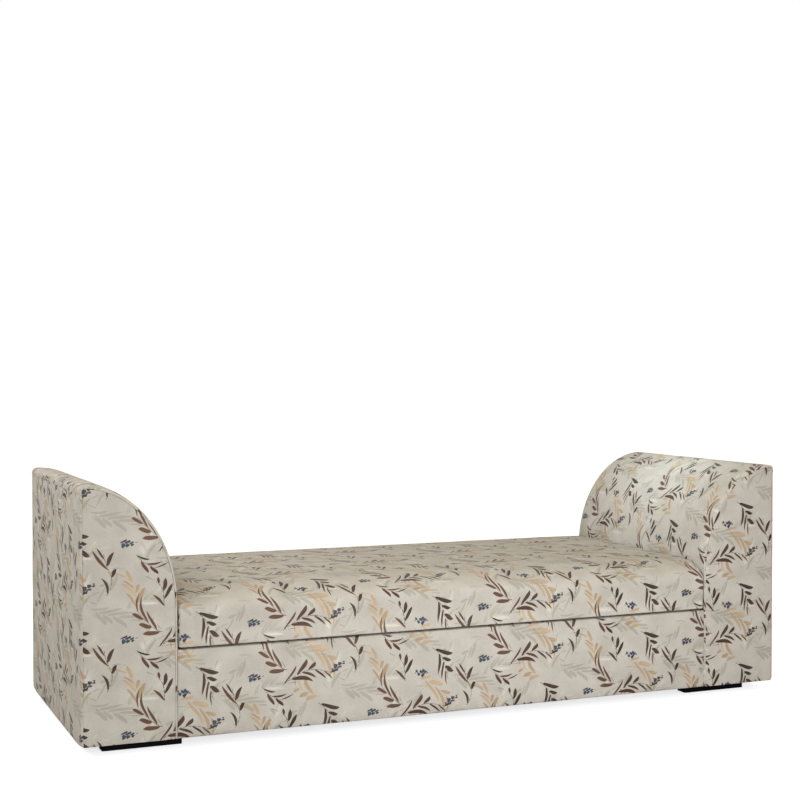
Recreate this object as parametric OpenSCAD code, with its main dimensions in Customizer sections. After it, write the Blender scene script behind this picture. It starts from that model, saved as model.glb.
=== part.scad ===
// Double-ended daybed: a long upholstered base, two quarter-round arms and a loose seat cushion.
// X runs along its length, the front faces -Y, and Z = 0 is the floor.

/* [Overall] */
// Length over both arms
sofa_l = 2200; // [1700:10:2600]
// Depth from the front face to the back face
sofa_d = 790; // [650:10:1000]

/* [Feet] */
// Height of the plinth feet, which is the gap under the upholstery
foot_h = 30; // [20:1:80]
// Length of each foot along the daybed
foot_l = 220; // [120:5:260]
// Width of each foot from front to back
foot_w = 46; // [35:1:90]
// Distance of each foot from the end of the daybed
foot_end = 68; // [50:1:90]
// Distance of each foot behind the front face, and ahead of the back face
foot_back = 63; // [45:1:110]
// Radius on the upright corners of a foot
foot_r = 6; // [1:1:15]

/* [Arms] */
// Width of each arm
arm_w = 260; // [220:5:300]
// Height of the arms above the underside of the upholstery
arm_h = 690; // [600:5:820]
// Height of the quarter round that tops each arm
arm_round_h = 325; // [220:5:345]

/* [Base] */
// Height of the upholstered base
base_h = 240; // [200:5:280]

/* [Seat cushion] */
// Thickness of the cushion at its edge
cushion_h = 154; // [100:2:180]
// How far the middle of the cushion rises above its edge
cushion_crown = 7; // [2:1:20]
// Radius of the soft top edge
cushion_top_r = 48; // [25:1:60]
// Radius of the bottom edge
cushion_low_r = 9; // [4:1:20]
// Radius of the upright corners
cushion_corner_r = 12; // [8:1:50]
// How far the long sides pull in between their corners
cushion_pull = 4; // [0:1:10]
// Gap between the cushion and each arm
cushion_gap = 2.5; // [1:0.5:8]

/* [Timber] */
// Thickness of the base rails
rail_t = 25; // [20:1:32]
// Thickness of the arm profile boards
profile_t = 18; // [12:1:25]
// Thickness of the board on the outside of each arm
side_board_t = 4; // [3:1:9]
// Thickness of the bent board over each arm
bent_board_t = 5; // [3:1:8]
// Width of the arm battens
batten_w = 30; // [20:1:45]
// Height of the arm battens
batten_h = 45; // [30:1:60]
// Height of the fixing rail that each arm is bolted by
fixing_h = 200; // [150:5:230]
// Width of the rail above each foot
foot_rail_w = 90; // [60:5:120]
// Thickness of the rail above each foot
foot_rail_t = 25; // [18:1:32]
// Height of the cross rails
cross_h = 120; // [80:5:160]
// Distance between the two cross rails
cross_gap = 560; // [400:10:700]
// Leg of the triangular corner blocks
block_l = 70; // [40:5:90]
// Height of the corner blocks
block_h = 160; // [80:5:180]

/* [Padding] */
// Foam over the round and the inside of each arm
round_foam_t = 20; // [12:1:30]
// Foam on the front and back faces
face_foam_t = 10; // [6:1:16]
// Foam on the outside of each arm
side_foam_t = 6; // [3:1:12]
// Felt and foam pad on the seat deck
deck_pad_t = 12; // [8:1:20]
// Wadding round the cushion's foam block
wadding_t = 16; // [8:1:24]

/* [Cloth] */
// Thickness of the backed furnishing fabric
fabric_t = 1.5; // [1:0.1:2]
// Thickness of the dust cover under the daybed
dust_t = 1; // [0.5:0.1:2]
// Width of the fabric lip that turns over the front edge of the deck
lip_w = 120; // [60:5:200]
// Distance of the dust cover from the outer faces
dust_in = 12; // [6:1:25]
// Width of the webbing
web_w = 60; // [40:5:80]
// Thickness of the webbing
web_t = 1.5; // [1:0.1:2.5]
// Distance between the middles of the webs that run front to back
web_pitch = 92; // [85:1:130]
// Distance between the middles of the webs that run end to end
web_long_pitch = 140; // [90:5:160]

/* [Fasteners] */
// Diameter of the bolts that join the arms to the base
bolt_d = 8; // [6:1:10]
// Distance of the bolts from the corner blocks
bolt_in = 73.5; // [30:0.5:110]
// Height of the lower bolts above the underside of the frame
bolt_low = 50; // [35:5:70]
// Height of the upper bolts above the lower ones
bolt_rise = 95; // [60:5:110]
// Diameter of the foot screws
screw_d = 5; // [4:0.5:6]
// How far the foot screws go into the rail above the foot
screw_bite = 20; // [12:1:22]
// Distance of the foot screws from the ends of the arm's foot rail
screw_end = 35; // [25:1:50]

/* [Cushion zip] */
// Width of the zip
zip_w = 7; // [5:1:12]
// Thickness of the zip, which lies flush in the cover
zip_t = 0.8; // [0.6:0.1:1]
// Height of the zip above the underside of the cushion
zip_z = 34; // [25:1:60]
// Length of the pull tab
zip_tab_l = 24; // [15:1:35]

/* [Hidden] */

// Colours
ground_colour = "#c6c0b4";
ground_shade_colour = "#b5ad9b";
timber_colour = "#d9bf94";
ply_colour = "#cfae7c";
hardboard_colour = "#8a6440";
foam_colour = "#e9e3c8";
wadding_colour = "#f4f4f0";
webbing_colour = "#5b4a36";
felt_colour = "#8d8c88";
black_colour = "#17171b";
steel_colour = "#b9bcc0";

// Clearances, and one overrun that serves all cuts
over = 2;
hole_clear = 0.3;
thread_clear = 0.1;
rest_clear = 0.3;

// Fasteners: sizes that go with the bolt and the screw
bolt_head_h = 5.3;
bolt_head_d = 15;
washer_d = 24;
washer_t = 2;
tee_flange_d = 24;
tee_flange_t = 1.5;
tee_barrel_l = 9;
tee_wall = 1.2;
bolt_tip = 3;
screw_head_d = 10;
screw_head_h = 3.5;
screw_sink = 4.5;
zip_tab_w = 5;
zip_tab_proud = 0.6;

// Heights
low_z = foot_h;
frame_z = foot_h + dust_t;
deck_z = foot_h + base_h;
arm_z = foot_h + arm_h;
round_z = arm_z - arm_round_h;
pad_z = deck_z - fabric_t - deck_pad_t;
rail_top = pad_z - web_t;

// The layers of an arm, measured inwards from its round face
bent_in = fabric_t + round_foam_t;
profile_in = bent_in + bent_board_t;
// The layers of an arm, measured inwards from its outside face
board_u = fabric_t + side_foam_t;
profile_u = board_u + side_board_t;
// The layers behind the front and back faces
half_d = sofa_d / 2;
foam_y = half_d - fabric_t;
profile_y = foam_y - face_foam_t;
// The fixing rail takes the place of the foam and the bent board
fixing_t = round_foam_t + bent_board_t;
fixing_top = frame_z + fixing_h;
inner_u = arm_w - profile_in;
// The base between the arms
half_base = sofa_l / 2 - arm_w;
foot_y = half_d - foot_back - foot_w / 2;
bolt_y = profile_y - rail_t - block_l - bolt_in;
round_steps = 24;

// Shapes along Y from an outline drawn in X and Z
module along_y(y0, y1) {
    translate([0, y1, 0]) rotate([90, 0, 0]) linear_extrude(y1 - y0) children();
}

module box(x0, x1, y0, y1, z0, z1) {
    translate([x0, y0, z0]) cube([x1 - x0, y1 - y0, z1 - z0]);
}

// An arm is drawn with its outside face at X = 0 and its inside towards +X
module left_end() {
    translate([-sofa_l / 2, 0, 0]) children();
}

module right_end() {
    mirror([1, 0, 0]) left_end() children();
}

// The arm's outline at a depth inside the round face: a quarter ellipse over an upright side
function arm_outline(depth, z0) = concat(
    [[0, z0]],
    [for (i = [0:round_steps]) let (q = 90 * i / round_steps)
        [(arm_w - depth) * sin(q), round_z + (arm_round_h - depth) * cos(q)]],
    [[arm_w - depth, z0]]
);

module arm_body(depth, z0, y0, y1) {
    along_y(y0, y1) polygon(arm_outline(depth, z0));
}

// The part of the arm body at a depth that lies between two planes of X
module arm_slice(depth, u0, u1, z0, y0, y1) {
    intersection() {
        arm_body(depth, z0, y0, y1);
        box(u0, u1, y0 - over, y1 + over, z0 - over, arm_z + over);
    }
}

// A curved layer between two depths, above z0 and inside u0
module arm_layer(depth, inner, u0, z0, y0, y1) {
    difference() {
        arm_slice(depth, u0, arm_w, z0, y0, y1);
        arm_body(inner, z0 - over, y0 - over, y1 + over);
    }
}

// Holes for the arm bolts, from the fixing rail to the base rail
module bolt_places() {
    for (y = [-bolt_y, bolt_y], z = [bolt_low, bolt_low + bolt_rise])
        translate([arm_w, y, frame_z + z]) rotate([0, 90, 0]) children();
}

module bolt_holes(d) {
    bolt_places() cylinder(h = 2 * arm_w, d = d, center = true, $fn = 32);
}

// Places of the foot screws in the left arm
module screw_places() {
    for (y = [-foot_y, foot_y], u = [foot_end + screw_end, inner_u - screw_end])
        translate([u, y, 0]) children();
}

module arm_profile(y0, notched) {
    color(ply_colour) difference() {
        arm_slice(profile_in, profile_u, arm_w, frame_z, y0, y0 + profile_t);
        if (notched) batten_space(hole_clear);
    }
}

// The two battens that run the length of an arm, or the room that they take
module batten_space(grow) {
    reach = grow > 0 ? profile_y : profile_y - profile_t;
    box(profile_u - grow, profile_u + batten_w + grow, -reach, reach,
        frame_z - grow, frame_z + batten_h + grow);
    intersection() {
        arm_body(profile_in - grow, frame_z, -reach, reach);
        box(profile_u - grow, profile_u + batten_w + grow, -reach, reach,
            arm_z - profile_in - batten_h - grow, arm_z);
    }
}

module arm_battens() {
    color(timber_colour) batten_space(0);
}

module arm_side_board() {
    color(hardboard_colour)
        arm_slice(bent_in, board_u, profile_u, frame_z, -profile_y, profile_y);
}

module arm_bent_board() {
    color(ply_colour)
        arm_layer(bent_in, profile_in, profile_u, fixing_top, -profile_y, profile_y);
}

module arm_fixing_rail() {
    color(timber_colour) difference() {
        box(inner_u, inner_u + fixing_t, -profile_y, profile_y, frame_z, fixing_top);
        bolt_holes(bolt_d + 2 * hole_clear);
        bolt_places() translate([0, 0, -fabric_t - fixing_t - over])
            cylinder(h = tee_barrel_l + over + hole_clear,
                     d = bolt_d + 2 * tee_wall + 2 * hole_clear, $fn = 32);
    }
}

module arm_side_foam() {
    color(foam_colour) arm_slice(fabric_t, fabric_t, board_u, frame_z, -foam_y, foam_y);
}

module arm_round_foam() {
    color(foam_colour)
        arm_layer(fabric_t, bent_in, board_u, fixing_top, -profile_y, profile_y);
}

module arm_face_foam(y0) {
    color(foam_colour) arm_slice(fabric_t, board_u, arm_w, frame_z, y0, y0 + face_foam_t);
}

module arm_side_cover() {
    color(ground_colour) arm_slice(0, 0, fabric_t, low_z, -half_d, half_d);
}

// The round cover is turned in at the bottom of the frame, above the dust cover
module arm_round_cover() {
    color(ground_colour) difference() {
        arm_layer(0, fabric_t, fabric_t, frame_z, -half_d, half_d);
        bolt_holes(bolt_d + 2 * hole_clear);
    }
}

module arm_face_cover(y0) {
    color(ground_colour) arm_slice(fabric_t, fabric_t, arm_w, low_z, y0, y0 + fabric_t);
}

// The rails above the feet, between the lower batten and the fixing rail
module foot_rails() {
    color(timber_colour) for (end = [0, 1]) mirror([end, 0, 0]) left_end() difference() {
        for (y = [-foot_y, foot_y])
            box(profile_u + batten_w, inner_u, y - foot_rail_w / 2, y + foot_rail_w / 2,
                frame_z, frame_z + foot_rail_t);
        screw_places() cylinder(h = 2 * sofa_d, d = screw_d + 2 * thread_clear, center = true, $fn = 24);
    }
}

// The base frame
module base_long_rail() {
    color(timber_colour)
        box(-half_base, half_base, -profile_y, -profile_y + rail_t, frame_z, rail_top);
}

module base_end_rail() {
    color(timber_colour) left_end() difference() {
        box(arm_w, arm_w + rail_t, -profile_y + rail_t, profile_y - rail_t, frame_z, rail_top - web_t);
        bolt_holes(bolt_d + 2 * hole_clear);
    }
}

module base_cross_rails() {
    color(timber_colour) for (x = [-cross_gap / 2, cross_gap / 2])
        box(x - rail_t / 2, x + rail_t / 2, -profile_y + rail_t, profile_y - rail_t,
            frame_z, frame_z + cross_h);
}

module corner_blocks() {
    color(timber_colour) for (sx = [0, 1], sy = [0, 1]) mirror([sx, 0, 0]) mirror([0, sy, 0])
        translate([-half_base + rail_t, -profile_y + rail_t, frame_z])
            linear_extrude(block_h) polygon([[0, 0], [block_l, 0], [0, block_l]]);
}

// The webs that run front to back lie on the long rails, over the webs that run end to end
module webbing_across() {
    count = floor((half_base - rail_t - web_w / 2) / web_pitch);
    color(webbing_colour) for (i = [-count:count])
        box(i * web_pitch - web_w / 2, i * web_pitch + web_w / 2, -profile_y, profile_y,
            rail_top, rail_top + web_t);
}

module webbing_along() {
    count = floor((profile_y - rail_t - web_w / 2) / web_long_pitch);
    color(webbing_colour) for (i = [-count:count])
        box(-half_base, half_base, i * web_long_pitch - web_w / 2, i * web_long_pitch + web_w / 2,
            rail_top - web_t, rail_top);
}

module deck_pad() {
    color(felt_colour) box(-half_base, half_base, -profile_y, profile_y, pad_z, pad_z + deck_pad_t);
}

module deck_lining() {
    color(ground_shade_colour)
        box(-half_base, half_base, -half_d + lip_w, half_d - lip_w, deck_z - fabric_t, deck_z);
}

module base_face_foam() {
    color(foam_colour)
        box(-half_base, half_base, -foam_y, -profile_y, frame_z, deck_z - fabric_t);
}

// The face cover turns over the edge of the deck in a lip
module base_face_cover() {
    color(ground_colour) union() {
        box(-half_base, half_base, -half_d, -foam_y, low_z, deck_z);
        box(-half_base, half_base, -half_d, -half_d + lip_w, deck_z - fabric_t, deck_z);
    }
}

module dust_cover() {
    color(black_colour) difference() {
        box(-sofa_l / 2 + dust_in, sofa_l / 2 - dust_in, -half_d + dust_in, half_d - dust_in,
            low_z, frame_z);
        for (end = [0, 1]) mirror([end, 0, 0]) left_end() screw_places()
            cylinder(h = 2 * sofa_d, d = screw_d + 2 * hole_clear, center = true, $fn = 24);
    }
}

// Fasteners: each bolt has its head and washer inside the base and its nut inside the arm
module each_bolt() {
    for (end = [0, 1]) mirror([end, 0, 0]) left_end() bolt_places() children();
}

module arm_bolts() {
    shank = washer_t + rail_t + fabric_t + fixing_t + tee_flange_t + bolt_tip;
    color(steel_colour) each_bolt() translate([0, 0, rail_t + washer_t]) union() {
        cylinder(h = bolt_head_h, d = bolt_head_d, $fn = 6);
        translate([0, 0, -shank]) cylinder(h = shank + bolt_head_h / 2, d = bolt_d, $fn = 32);
    }
}

module arm_bolt_washers() {
    color(steel_colour) each_bolt() translate([0, 0, rail_t]) difference() {
        cylinder(h = washer_t, d = washer_d, $fn = 48);
        translate([0, 0, -over])
            cylinder(h = washer_t + 2 * over, d = bolt_d + 2 * hole_clear, $fn = 32);
    }
}

module arm_tee_nuts() {
    barrel_d = bolt_d + 2 * tee_wall;
    color(steel_colour) each_bolt() translate([0, 0, -fabric_t - fixing_t]) difference() {
        union() {
            translate([0, 0, -tee_flange_t]) cylinder(h = tee_flange_t, d = tee_flange_d, $fn = 48);
            translate([0, 0, -tee_flange_t])
                cylinder(h = tee_flange_t + tee_barrel_l, d = barrel_d, $fn = 32);
        }
        cylinder(h = 2 * arm_w, d = bolt_d + 2 * thread_clear, center = true, $fn = 32);
    }
}

module foot_screws() {
    color(steel_colour) for (end = [0, 1]) mirror([end, 0, 0]) left_end() screw_places() {
        translate([0, 0, screw_sink - screw_head_h])
            cylinder(h = screw_head_h, d = screw_head_d, $fn = 32);
        translate([0, 0, screw_sink - screw_head_h])
            cylinder(h = frame_z + screw_bite - screw_sink + screw_head_h, d = screw_d, $fn = 24);
    }
}

// The front left foot: a block with rounded corners, bored and sunk for its screws
module foot_block() {
    color(black_colour) left_end() difference() {
        translate([foot_end, -foot_y - foot_w / 2, 0]) union() {
            translate([foot_r, 0, 0]) cube([foot_l - 2 * foot_r, foot_w, foot_h]);
            translate([0, foot_r, 0]) cube([foot_l, foot_w - 2 * foot_r, foot_h]);
            for (x = [foot_r, foot_l - foot_r], y = [foot_r, foot_w - foot_r])
                translate([x, y, 0]) cylinder(h = foot_h, r = foot_r, $fn = 32);
        }
        screw_places() {
            cylinder(h = 2 * sofa_d, d = screw_d + 2 * hole_clear, center = true, $fn = 24);
            translate([0, 0, -over])
                cylinder(h = screw_sink + over, d = screw_head_d + 2 * hole_clear, $fn = 32);
        }
    }
}

// The seat cushion. Its rings are rounded rectangles whose long sides pull in.
cushion_z = deck_z + rest_clear;
half_cl = half_base - cushion_gap;
low_steps = 2;
top_steps = 6;
// The rise from the edge to the crown, as shares of the way to the middle
crown_shares = [0.22, 0.5, 0.8];
// How much rounder the corners get towards the middle of the top, and the most that they may be
corner_grow_share = 0.5;
corner_most_share = 0.9;

function corner_sign(c) = [[1, 1], [-1, 1], [-1, -1], [1, -1]][c % 4];
function corner_point(hx, hy, r, c, a) =
    [corner_sign(c)[0] * (hx - r) + r * cos(a), corner_sign(c)[1] * (hy - r) + r * sin(a)];
function corner_points(hx, hy, r, c, n) =
    [for (j = [0:n]) corner_point(hx, hy, r, c, 90 * (c + j / n))];
function side_points(hx, hy, r, pull, c, n) =
    let (a = 90 * (c + 1), p = corner_point(hx, hy, r, c, a), q = corner_point(hx, hy, r, c + 1, a))
    [for (j = [1:n - 1]) let (t = j / n)
        p + (q - p) * t - [cos(a), sin(a)] * pull * 4 * t * (1 - t)];
function cushion_outline(inset, r, pull, n) = [for (c = [0:3]) each concat(
    corner_points(half_cl - inset, half_d - inset, r, c, n[2]),
    side_points(half_cl - inset, half_d - inset, r, c % 2 == 0 ? pull : pull / 2, c, n[c % 2]))];

// Each ring is its inset, its height above the underside and its share of the pull
function cushion_rings(skin) = concat(
    [for (i = [0:low_steps]) let (a = 90 * i / low_steps, r = cushion_low_r)
        [skin + r * (1 - sin(a)), skin + r * (1 - cos(a)), 1]],
    [for (i = [0:top_steps]) let (a = 90 * i / top_steps, r = cushion_top_r - skin)
        [skin + r * (1 - cos(a)), cushion_h - skin - r * (1 - sin(a)), 1]],
    [for (s = crown_shares)
        [cushion_top_r + (half_d - cushion_top_r) * s,
         cushion_h - skin + cushion_crown * (1 - (1 - s) * (1 - s)), 1 - s]]
);

function ring_r(inset) =
    min(cushion_corner_r + inset * corner_grow_share, (half_d - inset) * corner_most_share);

module cushion_form(skin, n) {
    rings = cushion_rings(skin);
    m = len(cushion_outline(0, cushion_corner_r, 0, n));
    k = len(rings);
    points = concat(
        [for (g = rings, p = cushion_outline(g[0], ring_r(g[0]), cushion_pull * g[2], n))
            [p[0], p[1], g[1]]],
        [[0, 0, skin], [0, 0, cushion_h - skin + cushion_crown]]);
    walls = [for (g = [0:k - 2], i = [0:m - 1]) let (a = g * m + i, b = g * m + (i + 1) % m)
        each [[a, a + m, b + m], [a, b + m, b]]];
    under = [for (i = [0:m - 1]) [k * m, i, (i + 1) % m]];
    top = [for (i = [0:m - 1]) [k * m + 1, (k - 1) * m + (i + 1) % m, (k - 1) * m + i]];
    translate([0, 0, cushion_z]) polyhedron(points, concat(walls, under, top));
}

// Points along the long sides, the ends and each corner of a ring
skin_counts = [10, 5, 4];
inner_counts = [6, 3, 2];

// The zip follows the back side of the cover between the first and the last of its side points
module zip_strip(out, depth, grow) {
    side = side_points(half_cl, half_d, cushion_corner_r, cushion_pull, 0, skin_counts[0]);
    outer = [for (p = side) [p[0], p[1] + out]];
    inner = [for (i = [len(side) - 1:-1:0]) [side[i][0], side[i][1] - depth]];
    translate([0, 0, cushion_z + zip_z - zip_w / 2 - grow])
        linear_extrude(zip_w + 2 * grow) polygon(concat(outer, inner));
}

module cushion_cover() {
    color(ground_colour) difference() {
        cushion_form(0, skin_counts);
        cushion_form(fabric_t, inner_counts);
        zip_strip(over, zip_t, hole_clear);
    }
}

module cushion_wadding() {
    color(wadding_colour) difference() {
        cushion_form(fabric_t, inner_counts);
        foam_block();
    }
}

module foam_block() {
    wrap = fabric_t + cushion_pull + wadding_t;
    box(-half_cl + wrap, half_cl - wrap, -half_d + wrap, half_d - wrap,
        cushion_z + fabric_t + wadding_t, cushion_z + cushion_h - fabric_t - wadding_t);
}

module cushion_foam() {
    color(foam_colour) foam_block();
}

// The pull tab lies on the strip at its end, where the side is least drawn in
module cushion_zip() {
    side = side_points(half_cl, half_d, cushion_corner_r, cushion_pull, 0, skin_counts[0]);
    along = zip_tab_l / (side[0][0] - side[1][0]);
    root_y = side[0][1] + (side[1][1] - side[0][1]) * along;
    color(felt_colour) {
        zip_strip(0, zip_t, 0);
        box(side[0][0] - zip_tab_l, side[0][0], root_y - zip_t / 2, side[0][1] + zip_tab_proud,
            cushion_z + zip_z - zip_tab_w / 2, cushion_z + zip_z + zip_tab_w / 2);
    }
}

left_end() arm_profile(-profile_y, false);  // left_arm_front_profile
left_end() arm_profile(-profile_t / 2, true);  // left_arm_middle_profile
left_end() arm_profile(profile_y - profile_t, false);  // left_arm_back_profile
left_end() arm_side_board();  // left_arm_side_board
left_end() arm_bent_board();  // left_arm_bent_board
left_end() arm_battens();  // left_arm_battens
left_end() arm_fixing_rail();  // left_arm_fixing_rail
left_end() arm_side_foam();  // left_arm_side_foam
left_end() arm_round_foam();  // left_arm_round_foam
left_end() arm_face_foam(-foam_y);  // left_arm_front_foam
left_end() arm_face_foam(profile_y);  // left_arm_back_foam
left_end() arm_side_cover();  // left_arm_side_cover
left_end() arm_round_cover();  // left_arm_round_cover
left_end() arm_face_cover(-half_d);  // left_arm_front_cover
left_end() arm_face_cover(foam_y);  // left_arm_back_cover
right_end() arm_profile(-profile_y, false);  // right_arm_front_profile
right_end() arm_profile(-profile_t / 2, true);  // right_arm_middle_profile
right_end() arm_profile(profile_y - profile_t, false);  // right_arm_back_profile
right_end() arm_side_board();  // right_arm_side_board
right_end() arm_bent_board();  // right_arm_bent_board
right_end() arm_battens();  // right_arm_battens
right_end() arm_fixing_rail();  // right_arm_fixing_rail
right_end() arm_side_foam();  // right_arm_side_foam
right_end() arm_round_foam();  // right_arm_round_foam
right_end() arm_face_foam(-foam_y);  // right_arm_front_foam
right_end() arm_face_foam(profile_y);  // right_arm_back_foam
right_end() arm_side_cover();  // right_arm_side_cover
right_end() arm_round_cover();  // right_arm_round_cover
right_end() arm_face_cover(-half_d);  // right_arm_front_cover
right_end() arm_face_cover(foam_y);  // right_arm_back_cover
foot_rails();
base_long_rail();  // base_front_rail
mirror([0, 1, 0]) base_long_rail();  // base_back_rail
base_end_rail();  // base_left_rail
mirror([1, 0, 0]) base_end_rail();  // base_right_rail
base_cross_rails();
corner_blocks();
webbing_across();
webbing_along();
deck_pad();
deck_lining();
base_face_foam();  // base_front_foam
mirror([0, 1, 0]) base_face_foam();  // base_back_foam
base_face_cover();  // base_front_cover
mirror([0, 1, 0]) base_face_cover();  // base_back_cover
dust_cover();
arm_bolts();
arm_bolt_washers();
arm_tee_nuts();
foot_screws();
foot_block();  // left_front_foot
mirror([1, 0, 0]) foot_block();  // right_front_foot
mirror([0, 1, 0]) foot_block();  // left_rear_foot
mirror([1, 0, 0]) mirror([0, 1, 0]) foot_block();  // right_rear_foot
cushion_foam();
cushion_wadding();
cushion_cover();
cushion_zip();
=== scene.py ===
"""A double-ended daybed: its covers, seat cushion and finishes, built round the fixed frame."""

import math

import bmesh
import bpy
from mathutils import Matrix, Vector


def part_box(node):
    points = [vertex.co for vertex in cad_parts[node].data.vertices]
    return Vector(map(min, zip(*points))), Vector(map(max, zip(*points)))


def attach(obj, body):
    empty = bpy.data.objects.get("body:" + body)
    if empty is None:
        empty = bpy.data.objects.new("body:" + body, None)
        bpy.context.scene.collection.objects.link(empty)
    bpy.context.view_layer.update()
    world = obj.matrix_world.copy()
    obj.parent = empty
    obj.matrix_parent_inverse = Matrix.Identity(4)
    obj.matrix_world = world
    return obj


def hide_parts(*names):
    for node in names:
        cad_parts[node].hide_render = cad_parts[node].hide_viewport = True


bl_info = {
    "name": "Double-ended daybed",
    "version": (1, 0, 0),
    "blender": (4, 5, 0),
    "location": "View3D > Sidebar > Daybed",
    "description": "Upholstered covers, seat cushion and finishes for a double-ended daybed",
    "category": "Add Mesh",
}

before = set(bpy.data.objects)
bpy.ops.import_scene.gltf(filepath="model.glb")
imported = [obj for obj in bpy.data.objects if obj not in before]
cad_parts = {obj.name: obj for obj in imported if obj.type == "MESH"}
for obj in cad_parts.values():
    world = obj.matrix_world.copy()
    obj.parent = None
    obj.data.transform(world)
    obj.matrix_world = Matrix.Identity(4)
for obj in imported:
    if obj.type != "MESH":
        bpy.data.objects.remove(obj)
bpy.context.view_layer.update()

MM = 0.001
# Places nearer to each other than this are taken for one
NEAR = 0.01 * MM
# Places that the frame gives, for the left arm, whose outside faces -X
END_X, FACE_Y, UNDER_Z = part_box("left_arm_side_cover")[0]
INNER_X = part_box("left_arm_round_cover")[1].x
TOP_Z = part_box("left_arm_round_cover")[1].z
FRAME_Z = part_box("left_arm_front_foam")[0].z
WALL_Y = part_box("left_arm_front_foam")[1].y
SIDE_PAD_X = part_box("left_arm_side_foam")[1].x
ROUND_PAD_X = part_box("left_arm_bent_board")[1].x
FIXING_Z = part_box("left_arm_fixing_rail")[1].z
DECK_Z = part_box("base_front_cover")[1].z
LIP_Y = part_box("base_front_cover")[1].y
CLOTH = DECK_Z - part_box("deck_lining")[0].z
SEAT_LOW, SEAT_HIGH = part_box("cushion_cover")
# The gap between two covers at their seam, and the end of the base's cover, beside the right arm
SEAM_GAP = 0.3 * MM
BASE_END_X = -INNER_X - SEAM_GAP
# Where on the bolt of fabric each panel is cut: along the bolt, and up it where that isn't its height
CUT_X = {"round": 0.11, "outside": 0.05, "front": 0.02, "back": 0.13, "base": 0.02,
         "seat": 0.02, "seat_end": 0.2, "seat_under": 0.1}
CUT_UP = {"round": 0.07, "seat": -0.148}


def linear(colour):
    """An sRGB hex colour as linear red, green, blue and alpha."""
    parts = [int(colour[i:i + 2], 16) / 255 for i in (1, 3, 5)]
    return [c / 12.92 if c <= 0.04045 else ((c + 0.055) / 1.055) ** 2.4 for c in parts] + [1.0]


def length(name, description, value, low=0.0, high=1.0):
    return bpy.props.FloatProperty(
        name=name, description=description, default=value, min=low, max=high, unit="LENGTH")


def colour(name, description, value):
    return bpy.props.FloatVectorProperty(
        name=name, description=description, default=linear(value), size=4, min=0, max=1, subtype="COLOR")


class DaybedSizes(bpy.types.PropertyGroup):
    """Sizes of the upholstery, in metres"""
    arch_height: length("Arch height", "Height of the quarter round that tops each arm", 0.325)
    band: length("Band", "How far the side cloth turns over onto the front and back", 0.006)
    edge_round: length("Edge round", "Radius on the long edges of the arms", 0.005)
    corner_round: length("Corner round", "Radius on the outer top edge of each arm", 0.016)
    low_round: length("Low round", "Radius on the outer bottom corners of each arm", 0.012)
    inner_round: length("Inner round", "Radius on the long edges of the arm's round panel", 0.0036)
    seam_round: length("Seam round", "Radius with which a panel dips into its seam", 0.0014)
    base_round: length("Base round", "Radius on the top front edge of the base", 0.0035)
    swell: length("Swell", "How far a padded face stands out in its middle", 0.0025)
    round_swell: length("Round swell", "How far the round of the arm stands out in its middle", 0.005)
    swell_reach: length("Swell reach", "Distance from the seam at which a face is at its fullest", 0.07)
    uneven: length("Unevenness", "Height of the slight waves in the stretched cloth", 0.0016)
    uneven_size: length("Wave size", "Size of the slight waves in the stretched cloth", 0.16)
    cell: length("Mesh cell", "Size of the mesh cells on the covers", 0.024)
    seat_round: length("Seat round", "Height of the soft round on the long top edges of the seat", 0.0495)
    seat_back_round: length("Seat back round", "Radius on the top back edge of the seat", 0.036)
    seat_round_depth: length("Seat round depth", "Depth of that round, measured along the seat", 0.15)
    seat_crown: length("Seat crown", "How far the seat stands up in its middle", 0.007)
    seat_swell: length("Seat swell", "How far the long sides of the seat stand out in the middle", 0.005)
    seat_pull: length("Seat pull", "How far the long sides of the seat draw in midway along it", 0.003)
    seat_lift: length("Seat lift", "Height of the slot between the seat's lower seam and the base", 0.0056)
    seat_tuck: length("Seat tuck", "How far the lower seam of the seat lies behind its face", 0.003)
    seat_under: length("Seat under", "Depth of that slot", 0.07)
    seat_corner: length("Seat corner", "Radius on the ends of the seat, at their seams", 0.007)
    seat_ridge: length("Seat ridge", "How far the cloth stands up beside the end seams", 0.0012)
    seat_cell: length("Seat cell", "Size of the mesh cells on the seat cushion", 0.018)
    seat_puff: length("Seat puff", "The most that the filling may push the cover out", 0.003)


class DaybedColours(bpy.types.PropertyGroup):
    """Colours of the cloth and the feet"""
    ground: colour("Ground", "Light threads of the ground", "#c4c0bb")
    ground_shade: colour("Ground shade", "Darker threads of the ground", "#b4afa8")
    dark: colour("Dark leaf", "Darkest leaf threads", "#2e211a")
    brown: colour("Brown leaf", "Lighter leaf threads", "#5a3a2a")
    tan: colour("Tan leaf", "Golden leaf threads", "#a3835c")
    sand: colour("Sand leaf", "Pale golden leaf threads", "#bea785")
    grey: colour("Grey leaf", "Grey-green leaf threads", "#98978a")
    pale: colour("Pale leaf", "Palest leaf threads", "#d6d2c9")
    blue: colour("Blue berry", "Slate-blue berry threads", "#3a4a5e")
    ink: colour("Ink berry", "Darkest berry threads", "#262d3a")
    lining: colour("Deck lining", "Plain cloth under the cushion", "#b9b1a2")
    foot: colour("Foot", "Lacquer on the feet", "#0a090c")


def put(tree, kind, inputs=(), **settings):
    """Adds a node with its settings. An input is a value, a socket, or a node, for its first output."""
    node = tree.nodes.new(kind if kind.startswith("Node") else "ShaderNode" + kind)
    for name, value in settings.items():
        setattr(node, name, value)
    for key, value in inputs.items() if isinstance(inputs, dict) else enumerate(inputs):
        if isinstance(value, bpy.types.Node):
            value = next(socket for socket in value.outputs if socket.enabled)
        if isinstance(value, bpy.types.NodeSocket):
            tree.links.new(value, node.inputs[key])
        elif value is not None:
            node.inputs[key].default_value = value
    return node


def new_material(name):
    material = bpy.data.materials.new(name)
    material.use_nodes = True
    material.node_tree.nodes.clear()
    return material, material.node_tree


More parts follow.
